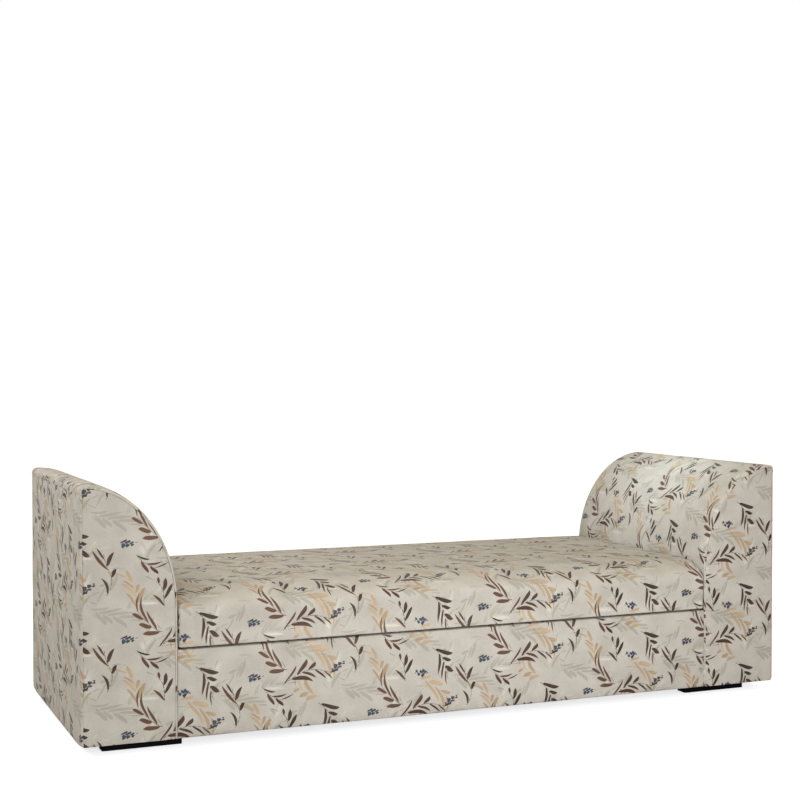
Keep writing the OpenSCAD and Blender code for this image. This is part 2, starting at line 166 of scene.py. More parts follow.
def new_group(name, inputs, outputs):
    """A node group with these named inputs and outputs, and its two end nodes."""
    tree = bpy.data.node_groups.new(name, "ShaderNodeTree")
    for way, sockets in (("INPUT", inputs), ("OUTPUT", outputs)):
        for label, kind in sockets:
            tree.interface.new_socket(name=label, in_out=way, socket_type="NodeSocket" + kind)
    return tree, put(tree, "NodeGroupInput").outputs


def tile_group():
    """Repeats a pattern in a half-drop, and turns each copy about its own middle. In millimetres."""
    tree, at = new_group("Half-drop repeat", [
        ("Place", "Vector"), ("Shift", "Vector"), ("Repeat", "Vector"), ("Turn", "Float"),
    ], [("Place", "Vector")])
    moved = put(tree, "VectorMath", (at["Place"], at["Shift"]), operation="SUBTRACT")
    cells = put(tree, "SeparateXYZ", (put(tree, "VectorMath", (moved, at["Repeat"]), operation="DIVIDE"),))
    column = put(tree, "Math", (cells.outputs[0],), operation="FLOOR")
    across = put(tree, "Math", (cells.outputs[0],), operation="FRACT")
    dropped = put(tree, "Math", (column, 0.5, cells.outputs[1]), operation="MULTIPLY_ADD")
    up = put(tree, "Math", (dropped,), operation="FRACT")
    inside = put(tree, "VectorMath", (put(tree, "CombineXYZ", (across, up)), (0.5, 0.5, 0.0)),
                 operation="SUBTRACT")
    full = put(tree, "VectorMath", (inside, at["Repeat"]), operation="MULTIPLY")
    put(tree, "NodeGroupOutput",
        (put(tree, "VectorRotate", {"Vector": full, "Angle": at["Turn"]}, rotation_type="Z_AXIS"),))
    return tree


def spray_group():
    """A spray of slender leaves along a stem that runs along X from the middle. In millimetres."""
    # Shares of the pitch by which the two sides are staggered and a leaf is shifted at random
    stagger, jitter = 0.25, 0.24
    # The shortest leaf, how much longer some are, what the stem's tip takes off, and the leaves left out
    shortest, spread, tip_loss, left_out = 0.68, 0.5, 0.5, 0.12
    # A leaf's bow as a share of its width, how far back its broadest place lies, and its soft edge
    bowing, set_back, soft = 0.9, 0.8, 0.5
    # The stem is woven in dashes, of which this share shows
    dash_pitch, dash_share = 12.0, 0.76
    floats = ["Bend", "Stem", "Pitch", "Leaf", "Width", "Lean", "Rise", "Seed"]
    tree, at = new_group("Leaf spray", [("Place", "Vector")] + [(name, "Float") for name in floats],
                         [(name, "Float") for name in ("Leaf", "Tone", "Along", "Rib", "Stem")])
    place = put(tree, "SeparateXYZ", (at["Place"],))
    x = place.outputs[0]
    squared = put(tree, "Math", (x, x), operation="MULTIPLY")
    off_stem = put(tree, "Math", (squared, at["Bend"], place.outputs[1]), operation="MULTIPLY_ADD")
    side = put(tree, "Math", (off_stem,), operation="SIGN")
    height = put(tree, "Math", (off_stem,), operation="ABSOLUTE")
    # Leaves lean forward, so the foot of the leaf that a point belongs to lies behind the point
    leaned = put(tree, "Math", (height, at["Lean"]), operation="MULTIPLY")
    foot = put(tree, "Math", (x, leaned), operation="SUBTRACT")
    steps = put(tree, "Math", (foot, at["Pitch"]), operation="DIVIDE")
    staggered = put(tree, "Math", (side, stagger, steps), operation="MULTIPLY_ADD")
    number = put(tree, "Math", (staggered,), operation="FLOOR")
    within = put(tree, "Math", (staggered,), operation="FRACT")
    chance = put(tree, "TexWhiteNoise", (put(tree, "CombineXYZ", (number, side, at["Seed"])),),
                 noise_dimensions="3D")
    dice = put(tree, "SeparateColor", (chance.outputs["Color"],))
    # The distance from the middle line of the leaf, which bows towards its tip
    shifted = put(tree, "Math", (dice.outputs[0], jitter, within), operation="MULTIPLY_ADD")
    centred = put(tree, "Math", (shifted, 0.5 + jitter / 2), operation="SUBTRACT")
    apart = put(tree, "Math", (centred, at["Pitch"]), operation="MULTIPLY")
    across = put(tree, "Math", (apart, at["Rise"]), operation="MULTIPLY")
    way = put(tree, "Math", (foot, at["Stem"]), operation="DIVIDE")
    taper = put(tree, "Math", (put(tree, "Math", (way, way), operation="MULTIPLY"), -tip_loss, 1.0),
                operation="MULTIPLY_ADD")
    random_length = put(tree, "Math", (dice.outputs[1], spread, shortest), operation="MULTIPLY_ADD")
    share = put(tree, "Math", (random_length, taper), operation="MULTIPLY")
    leaf_length = put(tree, "Math", (share, at["Leaf"]), operation="MULTIPLY")
    slant_height = put(tree, "Math", (height, at["Rise"]), operation="DIVIDE")
    along = put(tree, "Math", (slant_height, leaf_length), operation="DIVIDE")
    bow = put(tree, "Math", (put(tree, "Math", (along, along), operation="MULTIPLY"), at["Width"]),
              operation="MULTIPLY")
    bowed = put(tree, "Math", (bow, bowing, across), operation="MULTIPLY_ADD")
    distance = put(tree, "Math", (bowed,), operation="ABSOLUTE")
    eased = put(tree, "Math", (along, set_back), operation="POWER")
    left = put(tree, "Math", (1.0, eased), operation="SUBTRACT")
    broad = put(tree, "Math", (share, at["Width"]), operation="MULTIPLY")
    belly = put(tree, "Math", (put(tree, "Math", (eased, left), operation="MULTIPLY"), broad),
                operation="MULTIPLY")
    inside = put(tree, "Math", (belly, 4.0, put(tree, "Math", (distance, -1.0), operation="MULTIPLY")),
                 operation="MULTIPLY_ADD")
    leaf = put(tree, "MapRange", {0: inside, 1: -soft, 2: soft}, interpolation_type="SMOOTHSTEP")
    on_stem = put(tree, "Math", (way, 0.5, 0.5), operation="COMPARE")
    kept = put(tree, "Math", (dice.outputs[2], left_out), operation="GREATER_THAN")
    grown = put(tree, "Math", (on_stem, kept), operation="MULTIPLY")
    rib = put(tree, "MapRange", {0: distance, 1: 0.2, 2: 1.1, 3: 1.0, 4: 0.0})
    dashes = put(tree, "Math", (x, dash_pitch), operation="DIVIDE")
    dash = put(tree, "Math", (put(tree, "Math", (dashes,), operation="FRACT"), dash_share),
               operation="LESS_THAN")
    line = put(tree, "MapRange", {0: height, 1: 0.5, 2: 1.1, 3: 1.0, 4: 0.0})
    reach = put(tree, "Math", (put(tree, "Math", (x, at["Stem"]), operation="DIVIDE"), 0.5, 0.5),
                operation="COMPARE")
    stem = put(tree, "Math", (put(tree, "Math", (line, dash), operation="MULTIPLY"), reach),
               operation="MULTIPLY")
    put(tree, "NodeGroupOutput",
        (put(tree, "Math", (leaf, grown), operation="MULTIPLY"), chance, along, rib, stem))
    return tree


# The woven design, from the back to the front. Each spray has its two thread colours, its strength,
# the repeat and the place of its middle, the turn of its stem, the stem's length and bend, the pitch,
# length and half width of its leaves, the angle at which they leave the stem, and a seed.
WHOLE, HALF = (350.0, 255.0, 1.0), (175.0, 255.0, 1.0)
SPRAYS = [
    ("grey", "pale", 0.62, HALF, (44, 34), 48, 100, 0.0030, 25, 62, 6.4, 32, 1),
    ("grey", "grey", 0.60, HALF, (128, 112), -46, 104, -0.0034, 24, 60, 6.0, 30, 2),
    ("pale", "grey", 0.70, HALF, (50, 166), 112, 92, 0.0036, 26, 58, 6.4, 34, 3),
    ("grey", "grey", 0.56, HALF, (140, 222), 200, 84, -0.0030, 23, 54, 5.8, 32, 4),
    ("tan", "sand", 0.80, WHOLE, (118, 118), -16, 104, 0.0036, 29, 62, 6.2, 34, 5),
    ("sand", "tan", 0.76, WHOLE, (296, 52), 98, 92, -0.0042, 26, 56, 5.7, 32, 6),
    ("sand", "tan", 0.72, WHOLE, (75, 246), 168, 72, 0.0040, 27, 50, 5.5, 36, 14),
    ("dark", "brown", 0.96, WHOLE, (62, 66), 30, 128, 0.0030, 29, 68, 5.7, 34, 7),
    ("brown", "dark", 0.95, WHOLE, (232, 92), 68, 104, -0.0040, 28, 64, 5.5, 36, 8),
    ("dark", "brown", 0.96, WHOLE, (142, 196), -30, 96, 0.0048, 27, 60, 5.3, 35, 9),
    ("brown", "brown", 0.94, WHOLE, (322, 214), 158, 74, 0.0060, 26, 56, 5.6, 38, 33),
    ("dark", "brown", 0.97, WHOLE, (24, 176), 92, 74, -0.0060, 24, 50, 4.6, 36, 15),
    ("brown", "dark", 0.97, WHOLE, (318, 128), -52, 58, -0.0070, 24, 46, 4.7, 36, 21),
    ("ink", "blue", 0.95, WHOLE, (152, 74), 60, 40, 0.0100, 12.5, 18, 5.2, 52, 11),
    ("blue", "ink", 0.95, WHOLE, (262, 172), -24, 36, -0.0120, 12.0, 17, 5.0, 50, 12),
    ("blue", "ink", 0.95, WHOLE, (78, 142), 196, 38, 0.0120, 12.0, 17, 5.0, 50, 13),
]


def furnishing_fabric(shades):
    """Jacquard furnishing fabric: a cotton and viscose ground, closely woven, with leaves in satin threads.
    It gives a soft, slightly uneven ground, and crisp motifs that glint at the grazing angle."""
    material, tree = new_material("Jacquard furnishing fabric")
    # Sizes in millimetres: the slubs and the cloudy shading of the ground, the sway of the leaves, and
    # the weave, whose real threads lie 0.5 mm apart, which is too fine to show
    to_mm, slub_size, cloud_size, sway_reach, weave_pitch = 1000.0, 5, 60, 7.0, 1.6
    # The leaf threads are smoother, and hold a metallised filament that glints along the cloth
    satin_rough, filament = 0.52, 0.3
    # How far the rib and the tip of a leaf turn to its second thread, and from where
    rib_turns, tip_turns, turned_at_foot = 0.3, 0.5, -0.2
    # The relief of the cloth, and how much of it the slubs make against the weave
    relief_deep, slub_share = 0.4 * MM, 3.0
    place = put(tree, "VectorMath", {0: put(tree, "UVMap"), "Scale": to_mm}, operation="SCALE")
    cloud = put(tree, "TexNoise", {"Vector": place, "Scale": 1 / cloud_size, "Detail": 2.0})
    stretched = put(tree, "VectorMath", (place, (0.5, 2.0, 1.0)), operation="MULTIPLY")
    slub = put(tree, "TexNoise", {"Vector": stretched, "Scale": 1 / slub_size, "Detail": 3.0,
                                  "Roughness": 0.7})
    worn = put(tree, "Math", (cloud, slub), operation="ADD")
    shade = put(tree, "MapRange", {0: worn, 1: 0.75, 2: 1.25})
    cloth = put(tree, "Mix", {0: shade, 6: shades.ground, 7: shades.ground_shade}, data_type="RGBA")
    rough = put(tree, "MapRange", {0: slub, 1: 0.3, 2: 0.7, 3: 0.68, 4: 0.8})
    satin = 0.0
    # Stems and leaves sway, at a wave that fits the repeat
    ways = put(tree, "SeparateXYZ", (place,))
    sway_x = put(tree, "Math", (ways.outputs[1], 4 * math.pi / WHOLE[1], 1.0), operation="MULTIPLY_ADD")
    sway_y = put(tree, "Math", (ways.outputs[0], 4 * math.pi / WHOLE[0], 2.0), operation="MULTIPLY_ADD")
    sway = put(tree, "VectorMath", (put(tree, "CombineXYZ", (sway_x, sway_y)),), operation="SINE")
    swayed = put(tree, "VectorMath", (sway, (sway_reach, sway_reach, 0.0), place),
                 operation="MULTIPLY_ADD")
    tile, spray = tile_group(), spray_group()
    for low, high, strength, repeat, shift, turn, stem, bend, pitch, leaf, width, angle, seed in SPRAYS:
        lean, rise = 1 / math.tan(math.radians(angle)), math.sin(math.radians(angle))
        middle = put(tree, "Group", {
            "Place": swayed, "Shift": (*shift, 0.0), "Repeat": repeat, "Turn": -math.radians(turn),
        }, node_tree=tile)
        half_stem = put(tree, "VectorMath", (middle, (stem / 2, 0.0, 0.0)), operation="ADD")
        motif = put(tree, "Group", {
            "Place": half_stem, "Bend": bend, "Stem": float(stem), "Pitch": float(pitch),
            "Leaf": float(leaf), "Width": width, "Lean": lean, "Rise": rise, "Seed": float(seed),
        }, node_tree=spray)
        ribbed = put(tree, "Math", (motif.outputs["Rib"], rib_turns, motif.outputs["Tone"]),
                     operation="MULTIPLY_ADD")
        tone = put(tree, "Math", (motif.outputs["Along"], tip_turns,
                                  put(tree, "Math", (ribbed, turned_at_foot))),
                   operation="MULTIPLY_ADD", use_clamp=True)
        thread = put(tree, "Mix", {0: tone, 6: getattr(shades, low), 7: getattr(shades, high)},
                     data_type="RGBA")
        shown = put(tree, "Math", (motif.outputs["Leaf"], motif.outputs["Stem"]), operation="MAXIMUM")
        mask = put(tree, "Math", (shown, strength), operation="MULTIPLY")
        cloth = put(tree, "Mix", {0: mask, 6: cloth, 7: thread}, data_type="RGBA")
        rough = put(tree, "Mix", {0: mask, 2: rough, 3: satin_rough}, data_type="FLOAT")
        satin = put(tree, "Math", (mask, satin), operation="MAXIMUM")
    scaled = put(tree, "VectorMath", {0: place, "Scale": 2 * math.pi / weave_pitch}, operation="SCALE")
    axes = put(tree, "SeparateXYZ", (scaled,))
    warp = put(tree, "Math", (axes.outputs[0],), operation="SINE")
    weft = put(tree, "Math", (axes.outputs[1],), operation="SINE")
    weave = put(tree, "Math", (warp, weft), operation="MULTIPLY")
    relief = put(tree, "Math", (slub, slub_share, weave), operation="MULTIPLY_ADD")
    bump = put(tree, "Bump", {"Strength": 0.16, "Distance": relief_deep, "Height": relief})
    glint = put(tree, "Math", (satin, filament), operation="MULTIPLY")
    cloth_shader = put(tree, "BsdfPrincipled", {
        "Base Color": cloth, "Roughness": rough, "Normal": bump, "Metallic": glint,
        "Specular IOR Level": 0.2, "Sheen Weight": 0.03, "Sheen Roughness": 0.45,
    })
    put(tree, "OutputMaterial", (cloth_shader,))
    return material


def plain_cloth(name, base, spacing, rough, depth):
    """A plainly woven or matted cloth: fine crossed threads and a matt face."""
    material, tree = new_material(name)
    place = put(tree, "TexCoord").outputs["Object"]
    # The tint changes about every three threads
    noise = put(tree, "TexNoise", {"Vector": place, "Scale": 0.3 / spacing, "Detail": 3.0})
    scaled = put(tree, "VectorMath", {0: place, "Scale": 2 * math.pi / spacing}, operation="SCALE")
    axes = put(tree, "SeparateXYZ", (scaled,))
    crossed = put(tree, "Math", (put(tree, "Math", (axes.outputs[0],), operation="SINE"),
                                 put(tree, "Math", (axes.outputs[1],), operation="SINE")),
                  operation="MULTIPLY")
    tint = put(tree, "MapRange", {0: noise, 1: 0.3, 2: 0.7, 3: 0.86, 4: 1.08})
    shaded = put(tree, "VectorMath", {0: list(base)[:3], "Scale": tint}, operation="SCALE")
    bump = put(tree, "Bump", {"Strength": 0.4, "Distance": depth, "Height": crossed})
    shader = put(tree, "BsdfPrincipled", {
        "Base Color": shaded, "Roughness": rough, "Normal": bump, "Sheen Weight": 0.15})
    put(tree, "OutputMaterial", (shader,))
    return material


def timber(name, light, dark, grain_axis):
    """Planed softwood: long soft grain along one axis, with darker late wood."""
    # The width of the late wood's streaks, which hold finer ones, and how they are drawn out
    streak_wide, drawn_out = 8.33 * MM, 0.06
    material, tree = new_material(name)
    place = put(tree, "TexCoord").outputs["Object"]
    stretch = [1.0, 1.0, 1.0]
    stretch[grain_axis] = drawn_out
    drawn = put(tree, "Mapping", {"Vector": place, "Scale": stretch})
    grain = put(tree, "TexNoise", {"Vector": drawn, "Scale": 1 / streak_wide, "Detail": 4.0,
                                   "Distortion": 0.6})
    band = put(tree, "MapRange", {0: grain, 1: 0.35, 2: 0.65})
    base = put(tree, "Mix", {0: band, 6: linear(light), 7: linear(dark)}, data_type="RGBA")
    bump = put(tree, "Bump", {"Strength": 0.3, "Distance": 0.5 * MM, "Height": grain})
    shader = put(tree, "BsdfPrincipled", {"Base Color": base, "Roughness": 0.62, "Normal": bump})
    put(tree, "OutputMaterial", (shader,))
    return material


def plywood():
    """Birch plywood: pale faces, and edges that show plies about 1.5 mm thick."""
    ply_t, grain_wide, drawn_out = 1.5 * MM, 11.1 * MM, 0.08
    material, tree = new_material("Birch plywood")
    place = put(tree, "TexCoord").outputs["Object"]
    axes = put(tree, "SeparateXYZ", (place,))
    across = put(tree, "Math", (axes.outputs[1], math.pi / ply_t), operation="MULTIPLY")
    ply = put(tree, "Math", (across,), operation="SINE")
    drawn = put(tree, "Mapping", {"Vector": place, "Scale": (1, 1, drawn_out)})
    grain = put(tree, "TexNoise", {"Vector": drawn, "Scale": 1 / grain_wide, "Detail": 3.0})
    mixed = put(tree, "MapRange", {0: put(tree, "Math", (ply, 0.12, grain), operation="MULTIPLY_ADD"),
                                   1: 0.3, 2: 0.72})
    base = put(tree, "Mix", {0: mixed, 6: linear("#dcc196"), 7: linear("#b08c5c")}, data_type="RGBA")
    shader = put(tree, "BsdfPrincipled", {"Base Color": base, "Roughness": 0.55})
    put(tree, "OutputMaterial", (shader,))
    return material


def hardboard():
    """Tempered hardboard: pressed brown fibre with a fine mottle."""
    mottle_wide = 2.38 * MM
    material, tree = new_material("Tempered hardboard")
    place = put(tree, "TexCoord").outputs["Object"]
    fibre = put(tree, "TexNoise", {"Vector": place, "Scale": 1 / mottle_wide, "Detail": 4.0})
    base = put(tree, "Mix", {0: fibre, 6: linear("#7a5636"), 7: linear("#96704a")}, data_type="RGBA")
    bump = put(tree, "Bump", {"Strength": 0.2, "Distance": 0.3 * MM, "Height": fibre})
    shader = put(tree, "BsdfPrincipled", {"Base Color": base, "Roughness": 0.6, "Normal": bump})
    put(tree, "OutputMaterial", (shader,))
    return material


def zinc_steel():
    """Zinc-plated steel: pale metal with a faint spangle."""
    spangle_wide = 1.43 * MM
    material, tree = new_material("Zinc-plated steel")
    place = put(tree, "TexCoord").outputs["Object"]
    spangle = put(tree, "TexVoronoi", {"Vector": place, "Scale": 1 / spangle_wide})
    rough = put(tree, "MapRange", {0: spangle, 1: 0.0, 2: 1.0, 3: 0.26, 4: 0.42})
    shader = put(tree, "BsdfPrincipled", {"Base Color": linear("#c3c6c8"), "Metallic": 1.0,
                                          "Roughness": rough})
    put(tree, "OutputMaterial", (shader,))
    return material


def nylon():
    """Moulded nylon, as in zip teeth: smooth, slightly waxy and off-white."""
    haze_wide = 1.11 * MM
    material, tree = new_material("Moulded nylon")
    place = put(tree, "TexCoord").outputs["Object"]
    haze = put(tree, "TexNoise", {"Vector": place, "Scale": 1 / haze_wide})
    rough = put(tree, "MapRange", {0: haze, 1: 0.3, 2: 0.7, 3: 0.32, 4: 0.45})
    shader = put(tree, "BsdfPrincipled", {"Base Color": linear("#c2bbad"), "Roughness": rough,
                                          "Subsurface Weight": 0.1, "Subsurface Scale": MM})
    put(tree, "OutputMaterial", (shader,))
    return material


def black_lacquer(shades):
    """Satin black lacquer, sprayed on beech: an even dark coat with a soft highlight and faint pores."""
    # Pores about 0.1 mm wide are too fine to show, so they are drawn about ten times as wide
    pore_wide, drawn_out = 1.11 * MM, 0.1
    material, tree = new_material("Satin black lacquer")
    place = put(tree, "TexCoord").outputs["Object"]
    drawn = put(tree, "Mapping", {"Vector": place, "Scale": (drawn_out, 1.0, 1.0)})
    pores = put(tree, "TexNoise", {"Vector": drawn, "Scale": 1 / pore_wide, "Detail": 2.0})
    rough = put(tree, "MapRange", {0: pores, 1: 0.3, 2: 0.7, 3: 0.42, 4: 0.52})
    bump = put(tree, "Bump", {"Strength": 0.15, "Distance": 0.2 * MM, "Height": pores})
    shader = put(tree, "BsdfPrincipled", {"Base Color": shades.foot, "Roughness": rough, "Normal": bump,
                                          "Specular IOR Level": 0.08})
    put(tree, "OutputMaterial", (shader,))
    return material


MADE = {}


def finish_of(name):
    """The material of that name, made when it is first asked for."""
    shades = bpy.context.scene.daybed_colours
    makers = {
        "fabric": lambda: furnishing_fabric(shades),
        "lining": lambda: plain_cloth("Calico deck lining", shades.lining, 2 * MM, 0.85, 0.3 * MM),
        "dust": lambda: plain_cloth("Spunbond dust cloth", linear("#1b1b1d"), 3 * MM, 0.9, 0.2 * MM),
        "tape": lambda: plain_cloth("Woven zip tape", linear("#b3ab9c"), 1.5 * MM, 0.8, 0.2 * MM),
        "nylon": nylon,
        "webbing": lambda: plain_cloth("Jute webbing", linear("#6a5640"), 4 * MM, 0.85, 0.8 * MM),
        "pine_long": lambda: timber("Planed pine, long rails", "#dcc398", "#c19c66", 0),
        "pine_cross": lambda: timber("Planed pine, cross rails", "#dcc398", "#c19c66", 1),
        "plywood": plywood,
        "hardboard": hardboard,
        "steel": zinc_steel,
        "lacquer": lambda: black_lacquer(shades),
    }
    if name not in MADE:
        MADE[name] = makers[name]()
    return MADE[name]


def begin(name, add, **settings):
    """Adds a primitive as a new piece, with nothing else selected, and opens it in edit mode."""
    bpy.ops.object.select_all(action="DESELECT")
    add(**settings)
    piece = bpy.context.object
    piece.name = piece.data.name = name
    bpy.ops.object.mode_set(mode="EDIT")
    return piece


def alone(piece):
    """Selects only this piece and makes it the active one."""
    if bpy.context.object and bpy.context.object.mode != "OBJECT":
        bpy.ops.object.mode_set(mode="OBJECT")
    bpy.ops.object.select_all(action="DESELECT")
    piece.select_set(True)
    bpy.context.view_layer.objects.active = piece


def pick(piece, kind, test):
    """In edit mode, selects only the vertices, edges or faces that pass the test."""
    bpy.ops.mesh.select_mode(type=kind)
    bpy.ops.mesh.select_all(action="DESELECT")
    mesh = bmesh.from_edit_mesh(piece.data)
    mesh.normal_update()
    group = {"VERT": mesh.verts, "EDGE": mesh.edges, "FACE": mesh.faces}[kind]
    for part in [part for part in group if test(part)]:
        part.select_set(True)
    bmesh.update_edit_mesh(piece.data)


def middle(edge):
    return (edge.verts[0].co + edge.verts[1].co) / 2


def near(a, b):
    return abs(a - b) < NEAR


def extrude(offset):
    bpy.ops.mesh.extrude_region_move(TRANSFORM_OT_translate={"value": offset})


def split(axis, place):
    """Cuts the whole piece across an axis at one place."""
    point, normal = [0.0, 0.0, 0.0], [0.0, 0.0, 0.0]
    point[axis], normal[axis] = place, 1.0
    bpy.ops.mesh.select_all(action="SELECT")
    bpy.ops.mesh.bisect(plane_co=point, plane_no=normal)


def cut(axis, low, high, cell):
    """Cuts the whole piece across an axis into even cells."""
    count = math.ceil((high - low) / cell)
    for i in range(1, count):
        split(axis, low + (high - low) * i / count)


def fullness(edge, reach):
    """How full a padded face is at a distance from its edge, from 0 to 1."""
    share = max(0.0, min(edge / reach, 1.0))
    return 1 - (1 - share) ** 2


def round_low_edge(piece, sizes):
    """Rounds the arm's outer bottom edge, fully at its front and back corners and less between them."""
    steps, flatter = 4, 0.85
    for i in range(steps):
        reach = sizes.low_round * (1 - math.tan(math.radians(45 / steps * i)))
        split(0, END_X + reach)
        split(2, UNDER_Z + reach)
    mesh = bmesh.from_edit_mesh(piece.data)
    for v in mesh.verts:
        from_corner = fullness(-FACE_Y - abs(v.co.y), sizes.swell_reach)
        radius = sizes.low_round * (1 - flatter * from_corner)
        across, up = END_X + radius - v.co.x, UNDER_Z + radius - v.co.z
        if across > 0 and up > 0:
            move = 1 - max(across, up) / math.hypot(across, up)
            v.co += Vector((move * across, 0, move * up))
    bmesh.update_edit_mesh(piece.data)


def outward():
    """Merges doubles and turns every face of the closed piece outwards."""
    bpy.ops.mesh.select_mode(type="VERT")
    bpy.ops.mesh.select_all(action="SELECT")
    bpy.ops.mesh.remove_doubles(threshold=1e-6)
    bpy.ops.mesh.normals_make_consistent(inside=False)


def plate(name, points):
    """Begins a piece as a flat face with these corners, and leaves it all selected."""
    piece = begin(name, bpy.ops.mesh.primitive_circle_add, vertices=len(points), fill_type="NGON")
    mesh = bmesh.from_edit_mesh(piece.data)
    mesh.faces.ensure_lookup_table()
    for corner, point in zip(list(mesh.faces[0].verts), points):
        corner.co = point
    bmesh.update_edit_mesh(piece.data)
    bpy.ops.mesh.select_all(action="SELECT")
    return piece


def swell_face(piece, sizes, axis, place, edge):
    """Swells the padded face at a place on an axis: edge gives a point's distance from its seam."""
    mesh = bmesh.from_edit_mesh(piece.data)
    for v in mesh.verts:
        if near(v.co[axis], place):
            v.co[axis] -= sizes.swell * fullness(edge(v.co), sizes.swell_reach)


def apply_modifier(piece, name, kind, **settings):
    """Adds a modifier with its settings, and applies it."""
    alone(piece)
    modifier = piece.modifiers.new(name, kind)
    for key, value in settings.items():
        setattr(modifier, key, value)
    bpy.ops.object.modifier_apply(modifier=modifier.name)


def waves(piece):
    """Gives the stretched cloth its slight unevenness."""
    sizes = bpy.context.scene.daybed_sizes
    texture = bpy.data.textures.new("Slight waves", "CLOUDS")
    texture.noise_scale = sizes.uneven_size
    apply_modifier(piece, "Slight waves", "DISPLACE", texture=texture, strength=sizes.uneven,
                   texture_coords="LOCAL")


def dress(piece, body, finish, replaced, lay=None):
    """Gives a finished piece its smooth faces, cloth, material, body and the nodes that it stands for."""
    alone(piece)
    bpy.ops.object.shade_smooth_by_angle(angle=math.radians(38))
    if lay:
        lay_cloth(piece, lay)
    piece.data.materials.clear()
    piece.data.materials.append(finish_of(finish))
    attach(piece, body)
    if replaced:
        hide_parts(*replaced)


def lay_cloth(piece, lay):
    """Lays the cloth on a piece: lay gives the place on the bolt for a point and its face's normal."""
    mesh = piece.data
    layer = mesh.uv_layers.get("UVMap") or mesh.uv_layers.new(name="UVMap")
    for face in mesh.polygons:
        for loop in face.loop_indices:
            point = mesh.vertices[mesh.loops[loop].vertex_index].co
            layer.data[loop].uv = lay(point, face.normal)


def twin(piece, name, axes):
    """A mirrored copy of a piece with its own mesh."""
    alone(piece)
    bpy.ops.object.duplicate(linked=False)
    copy = bpy.context.object
    copy.name = copy.data.name = name
    copy.scale = [-1.0 if axis in axes else 1.0 for axis in (0, 1, 2)]
    bpy.ops.object.transform_apply(location=False, rotation=False, scale=True)
    bpy.ops.object.mode_set(mode="EDIT")
    outward()
    bpy.ops.object.mode_set(mode="OBJECT")
    return copy


def strip_section(outer, band, inner, height):
    """A strip of padded cloth in plan: its outer face, the bands that turn over at its ends, its pad."""
    face, wall = -FACE_Y, -WALL_Y
    plan = [(outer, -face), (outer, face), (band, face), (band, wall),
            (inner, wall), (inner, -wall), (band, -wall), (band, -face)]
    if outer < inner:
        plan.reverse()
    return [Vector((x, y, height)) for x, y in plan]


def mark_rim(piece, outer):
    """Puts the corners on the outer face into a group that their extruded copies stay in."""
    pick(piece, "VERT", lambda v: near(v.co.x, outer))
    bpy.ops.object.vertex_group_add()
    bpy.ops.object.vertex_group_assign()
    bpy.ops.mesh.select_all(action="SELECT")


def pick_rim(piece):
    """Selects the long edges of the rim."""
    bpy.ops.mesh.select_mode(type="VERT")
    bpy.ops.mesh.select_all(action="DESELECT")
    bpy.ops.object.vertex_group_select()
    mesh = bmesh.from_edit_mesh(piece.data)
    rim = {v for v in mesh.verts if v.select}
    pick(piece, "EDGE", lambda e: set(e.verts) <= rim and near(e.verts[0].co.y, e.verts[1].co.y))


def round_length(wide, high):
    """Length of a quarter of an ellipse, from its foot to each whole degree."""
    lengths = [0.0]
    for i in range(90):
        a = math.radians(i + 0.5)
        step = math.radians(1) * math.hypot(wide * math.sin(a), high * math.cos(a))
        lengths.append(lengths[-1] + step)
    return lengths


def over_round(across, up, wide, high, lengths):
    """Length of cloth from the foot of a round up to a point on it or past it."""
    if up <= 0:
        return up
    if across <= 0:
        return lengths[90] - across
    angle = math.degrees(math.atan2(up / high, across / wide))
    step = min(int(angle), 89)
    return lengths[step] + (lengths[step + 1] - lengths[step]) * (angle - step)


